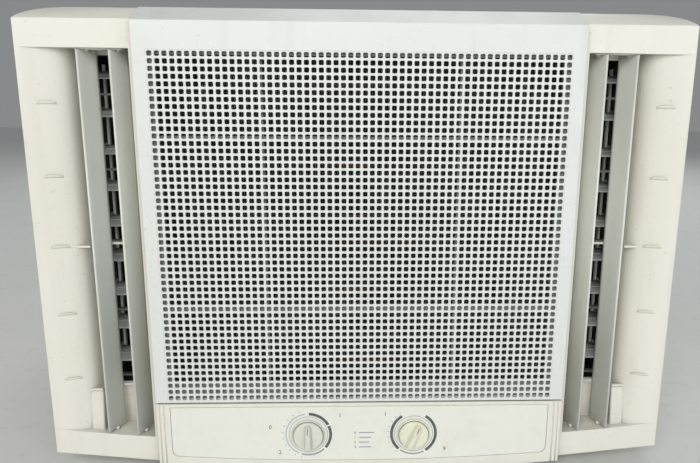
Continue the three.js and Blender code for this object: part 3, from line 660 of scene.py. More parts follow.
def whole_flats(build: bmesh.types.BMesh) -> bmesh.types.BMesh:
    """Joins a mesh's coplanar faces, keeps every face convex, and returns the mesh."""
    bmesh.ops.dissolve_limit(
        build, angle_limit=math.radians(0.4), use_dissolve_boundaries=False, verts=build.verts, edges=build.edges
    )
    bmesh.ops.connect_verts_concave(build, faces=build.faces)
    return build


def cad_copy(node: str) -> bmesh.types.BMesh:
    """Returns a copy of a CAD node with its doubles merged and its flat faces made whole."""
    build = bmesh.new()
    build.from_mesh(bpy.data.objects[node].data)
    bmesh.ops.remove_doubles(build, verts=build.verts, dist=1e-6)
    return whole_flats(build)


def carved(build: bmesh.types.BMesh, *cutters: bmesh.types.BMesh) -> bmesh.types.BMesh:
    """Cuts meshes out of another.

    Args:
        build: the mesh that is cut; it's freed.
        cutters: the meshes that are taken away; they're freed.

    Returns:
        What is left, as a new mesh.
    """
    target = piece("carved", build, IVORY_ABS)
    tool = piece("cutter", together(*cutters), IVORY_ABS)
    cut = target.modifiers.new("cut", "BOOLEAN")
    cut.operation = "DIFFERENCE"
    cut.solver = "EXACT"
    cut.use_self = True
    cut.object = tool
    graph = bpy.context.evaluated_depsgraph_get()
    mesh = bpy.data.meshes.new_from_object(target.evaluated_get(graph), depsgraph=graph)
    left = bmesh.new()
    left.from_mesh(mesh)
    for used in (target, tool):
        bpy.data.objects.remove(used)
    bpy.data.meshes.remove(mesh)
    return whole_flats(left)


# ---------------------------------------------------------------- geometry nodes


class Pattern:
    """A Geometry Nodes tree with named inputs that repeats a unit or follows a path.

    Each run evaluates the tree once and keeps the result as one plain mesh, so no modifier is left.
    """

    def __init__(self, name: str, **inputs: str) -> None:
        """Makes the tree and its inputs.

        Args:
            name: the tree's name.
            inputs: the socket type of each input, by the input's name.
        """
        self.tree = bpy.data.node_groups.new(name, "GeometryNodeTree")
        self.keys: dict[str, str] = {}
        for label, kind in inputs.items():
            socket = self.tree.interface.new_socket(label, in_out="INPUT", socket_type=f"NodeSocket{kind}")
            self.keys[label] = socket.identifier
        self.tree.interface.new_socket("Geometry", in_out="OUTPUT", socket_type="NodeSocketGeometry")
        self.given = add_node(self.tree, "NodeGroupInput").outputs

    def finish_with(self, geometry: bpy.types.NodeSocket) -> None:
        """Ends the tree in Realize Instances and Set Material."""
        real = add_node(self.tree, "GeometryNodeRealizeInstances", {"Geometry": geometry}).outputs[0]
        dressed = add_node(self.tree, "GeometryNodeSetMaterial", {"Geometry": real, "Material": self.given["finish"]})
        add_node(self.tree, "NodeGroupOutput", {"Geometry": dressed.outputs[0]})

    def run(self, name: str, finish: Finish, **values: Any) -> bpy.types.Object:
        """Evaluates the tree.

        Args:
            name: the new piece's name.
            finish: the material that the tree sets.
            values: a value for each input; a BMesh becomes a hidden unit object.

        Returns:
            A plain mesh object at the origin.
        """
        carrier = bpy.data.objects.new("carrier", bpy.data.meshes.new("carrier"))
        bpy.context.scene.collection.objects.link(carrier)
        modifier = carrier.modifiers.new("pattern", "NODES")
        modifier.node_group = self.tree
        units = []
        for label, value in {**values, "finish": finish.material()}.items():
            if isinstance(value, bmesh.types.BMesh):
                value = piece("unit", value, finish)
                units.append(value)
            modifier[self.keys[label]] = value
        graph = bpy.context.evaluated_depsgraph_get()
        mesh = bpy.data.meshes.new_from_object(carrier.evaluated_get(graph), depsgraph=graph)
        mesh.name = name
        for used in (carrier, *units):
            bpy.data.objects.remove(used)
        made = bpy.data.objects.new(name, mesh)
        bpy.context.scene.collection.objects.link(made)
        return made


class Lattice(Pattern):
    """Units on an upright grid, welded where they meet: perforations."""

    def __init__(self) -> None:
        """Builds the tree."""
        super().__init__(
            "upright_lattice",
            unit="Object",
            columns="Int",
            rows="Int",
            pitch="Float",
            centre="Vector",
            finish="Material",
        )
        tree, given = self.tree, self.given

        def span(count: bpy.types.NodeSocket) -> bpy.types.NodeSocket:
            gaps = add_node(tree, "ShaderNodeMath", {0: count, 1: 1.0}, operation="SUBTRACT").outputs[0]
            return add_node(tree, "ShaderNodeMath", {0: gaps, 1: given["pitch"]}, operation="MULTIPLY").outputs[0]

        sizes = {"Size X": span(given["columns"]), "Size Y": span(given["rows"])}
        counts = {"Vertices X": given["columns"], "Vertices Y": given["rows"]}
        flat = add_node(tree, "GeometryNodeMeshGrid", {**sizes, **counts}).outputs["Mesh"]
        stand = {"Geometry": flat, "Rotation": (math.radians(90), 0, 0), "Translation": given["centre"]}
        upright = add_node(tree, "GeometryNodeTransform", stand).outputs[0]
        unit = add_node(tree, "GeometryNodeObjectInfo", {"Object": given["unit"]}).outputs["Geometry"]
        placed = add_node(tree, "GeometryNodeInstanceOnPoints", {"Points": upright, "Instance": unit}).outputs[0]
        real = add_node(tree, "GeometryNodeRealizeInstances", {"Geometry": placed}).outputs[0]
        weld = {"Geometry": real, "Distance": 0.02 * MM}
        self.finish_with(add_node(tree, "GeometryNodeMergeByDistance", weld).outputs[0])


class Row(Pattern):
    """Units in a straight row, each turned a little at random: fins, wires, screws, rungs."""

    def __init__(self) -> None:
        """Builds the tree."""
        super().__init__(
            "straight_row",
            unit="Object",
            count="Int",
            start="Vector",
            step="Vector",
            stray="Vector",
            seed="Int",
            finish="Material",
        )
        tree, given = self.tree, self.given
        line = {"Count": given["count"], "Start Location": given["start"], "Offset": given["step"]}
        points = add_node(tree, "GeometryNodeMeshLine", line, mode="OFFSET").outputs[0]
        back = add_node(tree, "ShaderNodeVectorMath", {0: given["stray"], "Scale": -1.0}, operation="SCALE").outputs[0]
        ends = {"Min": back, "Max": given["stray"], "Seed": given["seed"]}
        turn = add_node(tree, "FunctionNodeRandomValue", ends, data_type="FLOAT_VECTOR").outputs["Value"]
        unit = add_node(tree, "GeometryNodeObjectInfo", {"Object": given["unit"]}).outputs["Geometry"]
        put = {"Points": points, "Instance": unit, "Rotation": turn}
        self.finish_with(add_node(tree, "GeometryNodeInstanceOnPoints", put).outputs[0])


class Circle(Pattern):
    """Units round the Y axis of a centre, each turned to face out: flutes and dial ticks."""

    def __init__(self) -> None:
        """Builds the tree."""
        super().__init__(
            "circle_of_units",
            unit="Object",
            count="Int",
            centre="Vector",
            radius="Float",
            first="Float",
            between="Float",
            finish="Material",
        )
        tree, given = self.tree, self.given
        points = add_node(tree, "GeometryNodeMeshLine", {"Count": given["count"]}, mode="OFFSET").outputs[0]
        index = add_node(tree, "GeometryNodeInputIndex").outputs[0]
        sweep = {0: index, 1: given["between"], 2: given["first"]}
        angle = add_node(tree, "ShaderNodeMath", sweep, operation="MULTIPLY_ADD").outputs[0]
        sine = add_node(tree, "ShaderNodeMath", {0: angle}, operation="SINE").outputs[0]
        cosine = add_node(tree, "ShaderNodeMath", {0: angle}, operation="COSINE").outputs[0]
        aim = add_node(tree, "ShaderNodeCombineXYZ", {"X": sine, "Z": cosine}).outputs[0]
        reach = add_node(tree, "ShaderNodeVectorMath", {0: aim, "Scale": given["radius"]}, operation="SCALE").outputs[0]
        spot = add_node(tree, "ShaderNodeVectorMath", {0: reach, 1: given["centre"]}, operation="ADD").outputs[0]
        spread = add_node(tree, "GeometryNodeSetPosition", {"Geometry": points, "Position": spot}).outputs[0]
        turn = add_node(tree, "ShaderNodeCombineXYZ", {"Y": angle}).outputs[0]
        unit = add_node(tree, "GeometryNodeObjectInfo", {"Object": given["unit"]}).outputs["Geometry"]
        put = {"Points": spread, "Instance": unit, "Rotation": turn}
        self.finish_with(add_node(tree, "GeometryNodeInstanceOnPoints", put).outputs[0])


class Tube(Pattern):
    """A round tube or bead along a path of straight runs with rounded corners."""

    def __init__(self) -> None:
        """Builds the tree."""
        super().__init__("tube_on_path", path="Object", radius="Float", bend="Float", sides="Int", finish="Material")
        tree, given = self.tree, self.given
        path = add_node(tree, "GeometryNodeObjectInfo", {"Object": given["path"]}).outputs["Geometry"]
        route = add_node(tree, "GeometryNodeMeshToCurve", {"Mesh": path}).outputs[0]
        corners = {"Curve": route, "Radius": given["bend"], "Limit Radius": True, "Count": 6}
        smooth = add_node(tree, "GeometryNodeFilletCurve", corners, mode="POLY")
        section = {"Resolution": given["sides"], "Radius": given["radius"]}
        ring = add_node(tree, "GeometryNodeCurvePrimitiveCircle", section).outputs[0]
        swept = {"Curve": smooth.outputs[0], "Profile Curve": ring, "Fill Caps": True}
        self.finish_with(add_node(tree, "GeometryNodeCurveToMesh", swept).outputs[0])

    def along(
        self, name: str, finish: Finish, route: Sequence[Vector], radius_mm: float, bend_mm: float, closed: bool = False
    ) -> bpy.types.Object:
        """Runs the tree on a route.

        Args:
            name: the piece's name.
            finish: its finish.
            route: the corners of the path, in the row frame.
            radius_mm: the tube's radius.
            bend_mm: the radius of each bend.
            closed: whether the path ends where it begins.

        Returns:
            The tube as a plain mesh.
        """
        build = bmesh.new()
        corners = [build.verts.new(spot) for spot in route]
        for one, two in zip(corners, corners[1:] + corners[:1] if closed else corners[1:]):
            build.edges.new((one, two))
        made = self.run(name, finish, path=build, radius=radius_mm * MM, bend=bend_mm * MM, sides=10)
        made.data.shade_smooth()
        return made


@dataclass
class Patterns:
    """The Geometry Nodes trees that the sub-assemblies share."""

    lattice: Lattice = field(default_factory=Lattice)
    row: Row = field(default_factory=Row)
    circle: Circle = field(default_factory=Circle)
    tube: Tube = field(default_factory=Tube)


# ---------------------------------------------------------------- moulded front


@dataclass
class FrontFrame:
    """The ivory shell round the panels, with a scoop on each side and small moulded ledges in it."""

    patterns: Patterns
    edge: float = 1.1
    rim: tuple[float, float] = (298.0, 9.0)
    pull: tuple[float, float] = (258.0, 12.0)
    throat: tuple[float, float] = (255.0, 40.0)
    ledge_reach: float = 278.5
    ledge_low: float = 95.0
    ledge_step: float = 65.5
    ledge_count: int = 5
    ledge_length: float = 16.0
    ledge_height: float = 4.2
    ledge_proud: float = 2.1

    def scoop(self, reach: float) -> tuple[float, float]:
        """Finds the scoop's surface.

        Args:
            reach: distance from the middle in mm.

        Returns:
            The depth there, and the surface's slope as an angle about Z on the right side.
        """
        a = self.rim[0] - 2 * self.pull[0] + self.throat[0]
        b = 2 * (self.pull[0] - self.rim[0])
        t = (-b - math.sqrt(b * b - 4 * a * (self.rim[0] - reach))) / (2 * a)
        depth = self.rim[1] * (1 - t) ** 2 + 2 * self.pull[1] * t * (1 - t) + self.throat[1] * t * t
        run = 2 * (1 - t) * (self.pull[0] - self.rim[0]) + 2 * t * (self.throat[0] - self.pull[0])
        fall = 2 * (1 - t) * (self.pull[1] - self.rim[1]) + 2 * t * (self.throat[1] - self.pull[1])
        return depth, math.atan2(-fall, -run)

    def ledge(self, side: Side) -> bmesh.types.BMesh:
        """Returns one low wedge, flat on top and fading downwards, turned to lie on the scoop."""
        half, high, proud = self.ledge_length / 2, self.ledge_height / 2, self.ledge_proud
        build = bmesh.new()
        stations = 8
        rings = []
        for i in range(stations + 1):
            along = -1 + 2 * i / stations
            swell = math.sqrt(max(1 - along * along, 0.0)) * 0.9 + 0.1
            section = [(1.5, high * 0.7), (-proud * swell, high * swell), (-proud * 0.7 * swell, 0.2), (1.5, -high)]
            rings.append([build.verts.new((half * along * MM, y * MM, z * MM)) for y, z in section])
        for one, two in zip(rings, rings[1:]):
            for i in range(4):
                j = (i + 1) % 4
                build.faces.new((one[i], one[j], two[j], two[i]))
        build.faces.new(rings[0])
        build.faces.new(rings[-1])
        outward(build)
        turn = self.scoop(self.ledge_reach)[1] * side.value
        return moved(soften(build, 0.45), Matrix.Rotation(turn, 4, "Z"))

    def build(self) -> None:
        """Builds the frame and its ledges."""
        shell = piece("front_shell", soften(cad_copy("front_frame"), self.edge, 3), IVORY_ABS)
        hand_over(shell, "root", ["front_frame"])
        depth = self.scoop(self.ledge_reach)[0]
        for side in Side:
            ledges = self.patterns.row.run(
                f"{side.word}_scoop_ledges",
                IVORY_ABS,
                unit=self.ledge(side),
                count=self.ledge_count,
                start=at(side.value * self.ledge_reach, depth, self.ledge_low),
                step=(0, 0, self.ledge_step * MM),
                stray=(0, 0, 0),
                seed=1,
            )
            hand_over(ledges, "root")


# ---------------------------------------------------------------- intake door


@dataclass
class IntakeGrille:
    """The perforated intake panel: a shallow tray with a field of small square holes."""

    patterns: Patterns
    columns: int = 58
    rows: int = 51
    pitch: float = 6.4
    hole: float = 4.5
    hole_corner: float = 0.8
    web: float = 1.5
    half: float = 197.5
    skin: float = 3.0
    skirt: float = 27.0
    low: float = 74.8
    front_top: float = 427.5
    top: float = 441.0
    field_z: float = 240.0
    edge: float = 2.4

    def profile(self, inset: float, rear: float) -> list[tuple[float, float]]:
        """Returns the tray seen from the side, in row Y and Z in mm, set in by its skin."""
        face = front(0) / MM
        return [
            (face + inset, self.low + inset),
            (face + rear, self.low + inset),
            (face + rear, self.top - inset),
            (face + self.skirt, self.top - inset),
            (face + inset, self.front_top - inset * 0.75),
        ]

    def cell(self) -> bmesh.types.BMesh:
        """Returns the square of plate round one hole, open at its outer sides so that it welds to its neighbours."""
        out, half, cut = self.pitch / 2, self.hole / 2, self.hole / 2 - self.hole_corner
        outer = [(out, 0), (out, out), (0, out), (-out, out), (-out, 0), (-out, -out), (0, -out), (out, -out)]
        inner = [(half, cut), (cut, half), (-cut, half), (-half, cut)]
        inner += [(-half, -cut), (-cut, -half), (cut, -half), (half, -cut)]
        build = bmesh.new()
        layers = []
        for depth in (0.0, self.web):
            layers.append([[build.verts.new((x * MM, depth * MM, z * MM)) for x, z in loop] for loop in (outer, inner)])
        for (ring, hole), flip in zip(layers, (False, True)):
            for i in range(8):
                after = (i + 1) % 8
                corners = (ring[i], ring[after], hole[i])
                fill = (ring[i], hole[i], hole[i - 1])
                for face in (corners, fill):
                    build.faces.new(face[::-1] if not flip else face)
        for i in range(8):
            j = (i + 1) % 8
            build.faces.new((layers[0][1][i], layers[0][1][j], layers[1][1][j], layers[1][1][i]))
        return build

    def field_edge(self) -> tuple[float, float]:
        """Returns half the field's width and half its height."""
        return self.columns * self.pitch / 2, self.rows * self.pitch / 2

    def build(self) -> None:
        """Builds the tray and its perforated field."""
        tray = prism(self.profile(0, self.skirt), Axis.X, -self.half, self.half)
        inner = self.half - self.skin
        hollow = prism(self.profile(self.skin, self.skirt + 1), Axis.X, -inner, inner)
        half_x, half_z = self.field_edge()
        face = front(0) / MM
        bottom, top = self.field_z - half_z, self.field_z + half_z
        window = block((-half_x, face - 1, bottom), (half_x, face + self.skin + 1, top))
        tray = carved(tray, hollow, window)
        panel = piece("intake_panel", soften(tray, self.edge, 3), WHITE_ABS)
        hand_over(panel, "intake_door", ["intake_grille"])
        sheet = self.patterns.lattice.run(
            "intake_perforations",
            WHITE_ABS,
            unit=self.cell(),
            columns=self.columns,
            rows=self.rows,
            pitch=self.pitch * MM,
            centre=at(0, 0.02, self.field_z),
        )
        self.close_rim(sheet)
        hand_over(sheet, "intake_door")

    def close_rim(self, sheet: bpy.types.Object) -> None:
        """Closes the welded field's open outer edge, from its face to its back."""
        build = bmesh.new()
        build.from_mesh(sheet.data)
        rim = [edge for edge in build.edges if edge.is_boundary]
        bmesh.ops.bridge_loops(build, edges=rim)
        outward(build)
        build.to_mesh(sheet.data)
        build.free()


@dataclass
class AirFilter:
    """The slide-in filter behind the panel: a grey frame with ribs, and a net of thin threads."""

    patterns: Patterns
    half: float = 186.0
    low: float = 82.0
    high: float = 410.0
    front_face: float = 4.6
    rear_face: float = 9.5
    border: float = 9.0
    stile: float = 3.5
    rib: float = 3.6
    rib_x: tuple[float, ...] = (-89.0, 0.0, 89.0)
    rib_z: tuple[float, ...] = (168.0, 328.0)
    thread: float = 0.34
    thread_pitch: float = 1.7
    net_depth: float = 7.0

    def frame(self) -> bmesh.types.BMesh:
        """Returns the frame with its ribs, as one bar lattice."""
        columns = [self.stile - self.half, *self.rib_x, self.half - self.stile]
        rows = [self.low + self.border, *self.rib_z, self.high - self.border]
        y0, y1 = front(self.front_face) / MM, front(self.rear_face) / MM
        outer = block((-self.half, y0, self.low), (self.half, y1, self.high))
        cells = []
        half = self.rib / 2
        for x0, x1 in zip(columns, columns[1:]):
            for z0, z1 in zip(rows, rows[1:]):
                cells.append(block((x0 + half, y0 - 1, z0 + half), (x1 - half, y1 + 1, z1 - half)))
        return soften(carved(outer, *cells), 0.5)

    def threads(self, upright: bool) -> bpy.types.Object:
        """Returns one direction of the net's threads."""
        half = self.thread / 2
        reach = self.half - self.stile + 1
        bottom, top = self.low + self.border - 1, self.high - self.border + 1
        if upright:
            unit = block((-half, -half, bottom), (half, half, top))
            count = round(2 * reach / self.thread_pitch)
            start, step = at(-reach, self.net_depth, 0), (self.thread_pitch * MM, 0, 0)
        else:
            unit = block((-reach, -half, -half), (reach, half, half))
            count = round((top - bottom) / self.thread_pitch)
            start, step = at(0, self.net_depth + half, bottom), (0, 0, self.thread_pitch * MM)
        name = "filter_warp_threads" if upright else "filter_weft_threads"
        stray = (0, 0, 0) if upright else (0, 0.0006, 0)
        return self.patterns.row.run(
            name, FILTER_NET, unit=unit, count=count, start=start, step=step, stray=stray, seed=4
        )

    def build(self) -> None:
        """Builds the frame and the net, which tilt with the door."""
        frame = piece("filter_frame", self.frame(), FILTER_FRAME)
        hand_over(frame, "intake_door", ["air_filter"])
        for upright in (True, False):
            hand_over(self.threads(upright), "intake_door")


# ---------------------------------------------------------------- control panel


@dataclass
class Dial:
    """One printed dial on the label, and the places of its arcs, ticks and digits.

    Angles are in degrees, clockwise from the top as someone facing the front sees them.
    """

    name: str
    x: float
    bands: Sequence[tuple[float, float, float, float, Finish]]
    digits: Sequence[tuple[str, float, float]]
    tick_first: float
    tick_between: float
    tick_count: int


@dataclass
class ControlPanel:
    """The ivory fascia under the grille, its label, and the two printed dials."""

    patterns: Patterns
    knob_x: float = 51.7
    knob_z: float = 40.0
    label_face: float = 0.3
    ink: float = 0.08
    flute_x: tuple[float, float] = (190.2, 194.4)
    flute_wide: float = 1.1
    flute_deep: float = 0.9
    digit_size: float = 6.0
    legend_x: float = -6.0
    legend_z: float = 41.5
    legend_step: float = 5.2
    legend_size: float = 3.6

    def dials(self) -> list[Dial]:
        """Returns the two dials."""
        left = [
            (20.4, 23.2, 2, 62, GRAPHITE_INK),
            (20.4, 23.2, 66, 130, GRAPHITE_INK),
            (21.2, 22.6, 205, 352, PALE_INK),
            (21.0, 22.6, 136, 198, GREY_INK),
            (18.6, 19.1, 0, 359.9, GREY_INK),
        ]
        right = [
            (20.4, 23.2, 222, 328, GRAPHITE_INK),
            (20.4, 23.2, 32, 146, GRAPHITE_INK),
            (21.2, 22.6, 152, 216, GREY_INK),
            (18.6, 19.1, 0, 359.9, GREY_INK),
        ]
        return [
            Dial("mode", -self.knob_x, left, [("0", -37, 8), ("1", 31, 20), ("2", -28, -19)], 196, 16, 10),
            Dial("thermostat", self.knob_x, right, [("1", -28, 21), ("9", 31, -17)], 222, 13.25, 9),
        ]

    def band(self, x: float, spec: tuple[float, float, float, float, Finish]) -> bmesh.types.BMesh:
        """Returns one printed arc as a thin closed solid, centred on a dial."""
        inner, outer, first, last, _ = spec
        steps = max(8, round((last - first) / 5))
        angles = [math.radians(first + (last - first) * i / steps) for i in range(steps + 1)]
        outline = [(x + outer * math.sin(a), self.knob_z + outer * math.cos(a)) for a in angles]
        outline += [(x + inner * math.sin(a), self.knob_z + inner * math.cos(a)) for a in reversed(angles)]
        face = front(self.label_face) / MM
        return prism(outline, Axis.Y, face - self.ink, face + 0.2)

    def digit(self, text: str, x: float, z: float, size: float) -> bmesh.types.BMesh:
        """Makes a printed digit.

        Args:
            text: the digit.
            x: where its middle is.
            z: how high its middle is.
            size: its size in mm.

        Returns:
            A thin closed solid on the label's face.
        """
        curve = bpy.data.curves.new("digit", "FONT")
        curve.body = text
        curve.size = size * MM
        curve.extrude = 0.1 * MM
        curve.resolution_u = 3
        curve.align_x, curve.align_y = "CENTER", "CENTER"
        holder = bpy.data.objects.new("digit", curve)
        bpy.context.scene.collection.objects.link(holder)
        graph = bpy.context.evaluated_depsgraph_get()
        mesh = bpy.data.meshes.new_from_object(holder.evaluated_get(graph), depsgraph=graph)
        build = bmesh.new()
        build.from_mesh(mesh)
        bpy.data.objects.remove(holder)
        bpy.data.meshes.remove(mesh)
        bmesh.ops.remove_doubles(build, verts=build.verts, dist=1e-7)
        stand = Matrix.Translation(at(x, self.label_face, z)) @ Matrix.Rotation(math.radians(90), 4, "X")
        return moved(build, stand)

    def fascia(self) -> bmesh.types.BMesh:
        """Returns the fascia with two flutes cut at each end."""
        face = front(0) / MM
        flutes = []
        for x in self.flute_x:
            for side in Side:
                middle, half = side.value * x, self.flute_wide / 2
                flutes.append(block((middle - half, face - 1, -5), (middle + half, face + self.flute_deep, 90)))
        return soften(carved(cad_copy("control_fascia"), *flutes), 0.5, 2)

    def build(self) -> None:
        """Builds the fascia, the label and the prints."""
        hand_over(piece("fascia", self.fascia(), IVORY_ABS), "root", ["control_fascia"])
        label = piece("dial_label", soften(cad_copy("control_label"), 0.12, 2), LABEL_FILM)
        hand_over(label, "root", ["control_label"])
        tick = self.tick()
        for dial in self.dials():
            for finish, word in ((GRAPHITE_INK, "graphite"), (PALE_INK, "pale"), (GREY_INK, "grey")):
                bands = [self.band(dial.x, spec) for spec in dial.bands if spec[4] is finish]
                if bands:
                    hand_over(piece(f"{dial.name}_{word}_arcs", together(*bands), finish), "root")
            ticks = self.patterns.circle.run(
                f"{dial.name}_ticks",
                GREY_INK,
                unit=tick.copy(),
                count=dial.tick_count,
                centre=at(dial.x, self.label_face, self.knob_z),
                radius=25.2 * MM,
                first=math.radians(dial.tick_first),
                between=math.radians(dial.tick_between),
            )
            hand_over(ticks, "root")
            digits = [self.digit(text, dial.x + x, self.knob_z + z, self.digit_size) for text, x, z in dial.digits]
            hand_over(piece(f"{dial.name}_digits", together(*digits), GRAPHITE_INK), "root")
        tick.free()
        self.build_legend()

    def build_legend(self) -> None:
        """Builds the small numbered key between the dials: four digits, each with a short rule."""
        face = front(self.label_face) / MM
        digits, rules = [], []
        for i, length in enumerate((15, 12, 10, 12)):
            z = self.legend_z - i * self.legend_step
            digits.append(self.digit(str(i), self.legend_x, z, self.legend_size))
            start = self.legend_x + 4
            rules.append(block((start, face - self.ink, z - 0.5), (start + length, face + 0.2, z + 0.5)))
        hand_over(piece("label_key_digits", together(*digits), GRAPHITE_INK), "root")
        hand_over(piece("label_key_rules", together(*rules), GREY_INK), "root")

    def tick(self) -> bmesh.types.BMesh:
        """Returns one printed tick, centred on its own place."""
        return block((-0.25, -self.ink, -0.9), (0.25, 0.2, 0.9))


@dataclass
class Knob:
    """A round knob: a fluted skirt, a domed face and a raised grip bar with a pointer line."""

    patterns: Patterns
    name: str
    body: str
    node: str
    x: float
    lean: float
    finish: Finish
    z: float = 40.0
    radius: float = 16.0
    skirt: float = 2.4
    face: float = 5.0
    proud: float = 12.0
    bar_half: float = 4.6
    bar_reach: float = 12.4
    flutes: int = 36

    def disc(self) -> bmesh.types.BMesh:
        """Returns the turned disc with rounded corners."""
        r, step = self.radius, 1.6
        profile = [
            (0, -0.5),
            (r - 0.4, -0.5),
            (r, -0.9),
            (r, -self.skirt + 0.5),
            (r - 0.5, -self.skirt),
            (r - step, -self.skirt - 0.1),
            (r - step - 0.2, -self.face + 0.8),
            (r - step - 0.5, -self.face + 0.3),
            (r - step - 1.1, -self.face),
            (r - step - 4, -self.face - 0.2),
            (6, -self.face - 0.6),
            (0, -self.face - 0.7),
        ]
        return lathe(profile, 64)

    def grip(self) -> bmesh.types.BMesh:
        """Returns the grip bar: waisted, drafted and well rounded."""
        half, reach = self.bar_half, self.bar_reach
        build = bmesh.new()
        stations = 12
        rings = []
        for i in range(stations + 1):
            along = -1 + 2 * i / stations
            wide = half * (0.84 - 0.16 * along) * (1 - 0.25 * max(abs(along) - 0.85, 0) / 0.15)
            rise = -self.proud + 1.3 * along * along
            section = [(-wide, -4.0), (-wide * 0.6, rise + 0.8), (0, rise), (wide * 0.6, rise + 0.8), (wide, -4.0)]
            rings.append([build.verts.new((x * MM, y * MM, reach * along * MM)) for x, y in section])
        count = len(rings[0])
        for one, two in zip(rings, rings[1:]):
            for i in range(count):
                j = (i + 1) % count
                build.faces.new((one[i], one[j], two[j], two[i]))
        build.faces.new(rings[0])
        build.faces.new(rings[-1])
        outward(build)
        return soften(build, 0.8, 3)

    def build(self) -> None:
        """Builds the disc, the bar, the flutes, the pointer line and a painted shadow ring round the skirt."""
        place = Matrix.Translation(at(self.x, 0, self.z)) @ Matrix.Rotation(math.radians(self.lean), 4, "Y")
        body = piece(self.name, moved(together(self.disc(), self.grip()), place), self.finish)
        hand_over(body, self.body, [self.node])
        flute = self.flute()
        flutes = self.patterns.circle.run(
            f"{self.name}_flutes",
            self.finish,
            unit=flute,
            count=self.flutes,
            centre=at(self.x, 0, self.z),
            radius=(self.radius - 1.7) * MM,
            first=math.radians(self.lean),
            between=2 * math.pi / self.flutes,
        )
        hand_over(flutes, self.body)
        line = block((-0.45, -self.proud + 0.4, 5.0), (0.45, -self.proud + 2.4, self.bar_reach - 0.6))
        pointer = piece(f"{self.name}_pointer", moved(soften(line, 0.15), place), GREY_INK)
        hand_over(pointer, self.body)
        # painted shadow cast by the disc's side, drawn as a thin graphite ring on the skirt's step
        ring = lathe([(14.5, -2.0), (15.1, -2.0), (15.1, -self.skirt - 0.25), (14.5, -self.skirt - 0.25)], 64)
        rim = piece(f"{self.name}_rim_line", moved(ring, place), GRAPHITE_INK)
        hand_over(rim, self.body)

    def flute(self) -> bmesh.types.BMesh:
        """Returns one small finger rib on the disc's side."""
        rib = prism([(-0.45, -0.3), (0.45, -0.3), (0.25, 0.45), (-0.25, 0.45)], Axis.Y, -self.face + 1.0, -self.skirt)
        return soften(rib, 0.12, 1)


# ---------------------------------------------------------------- side outlets


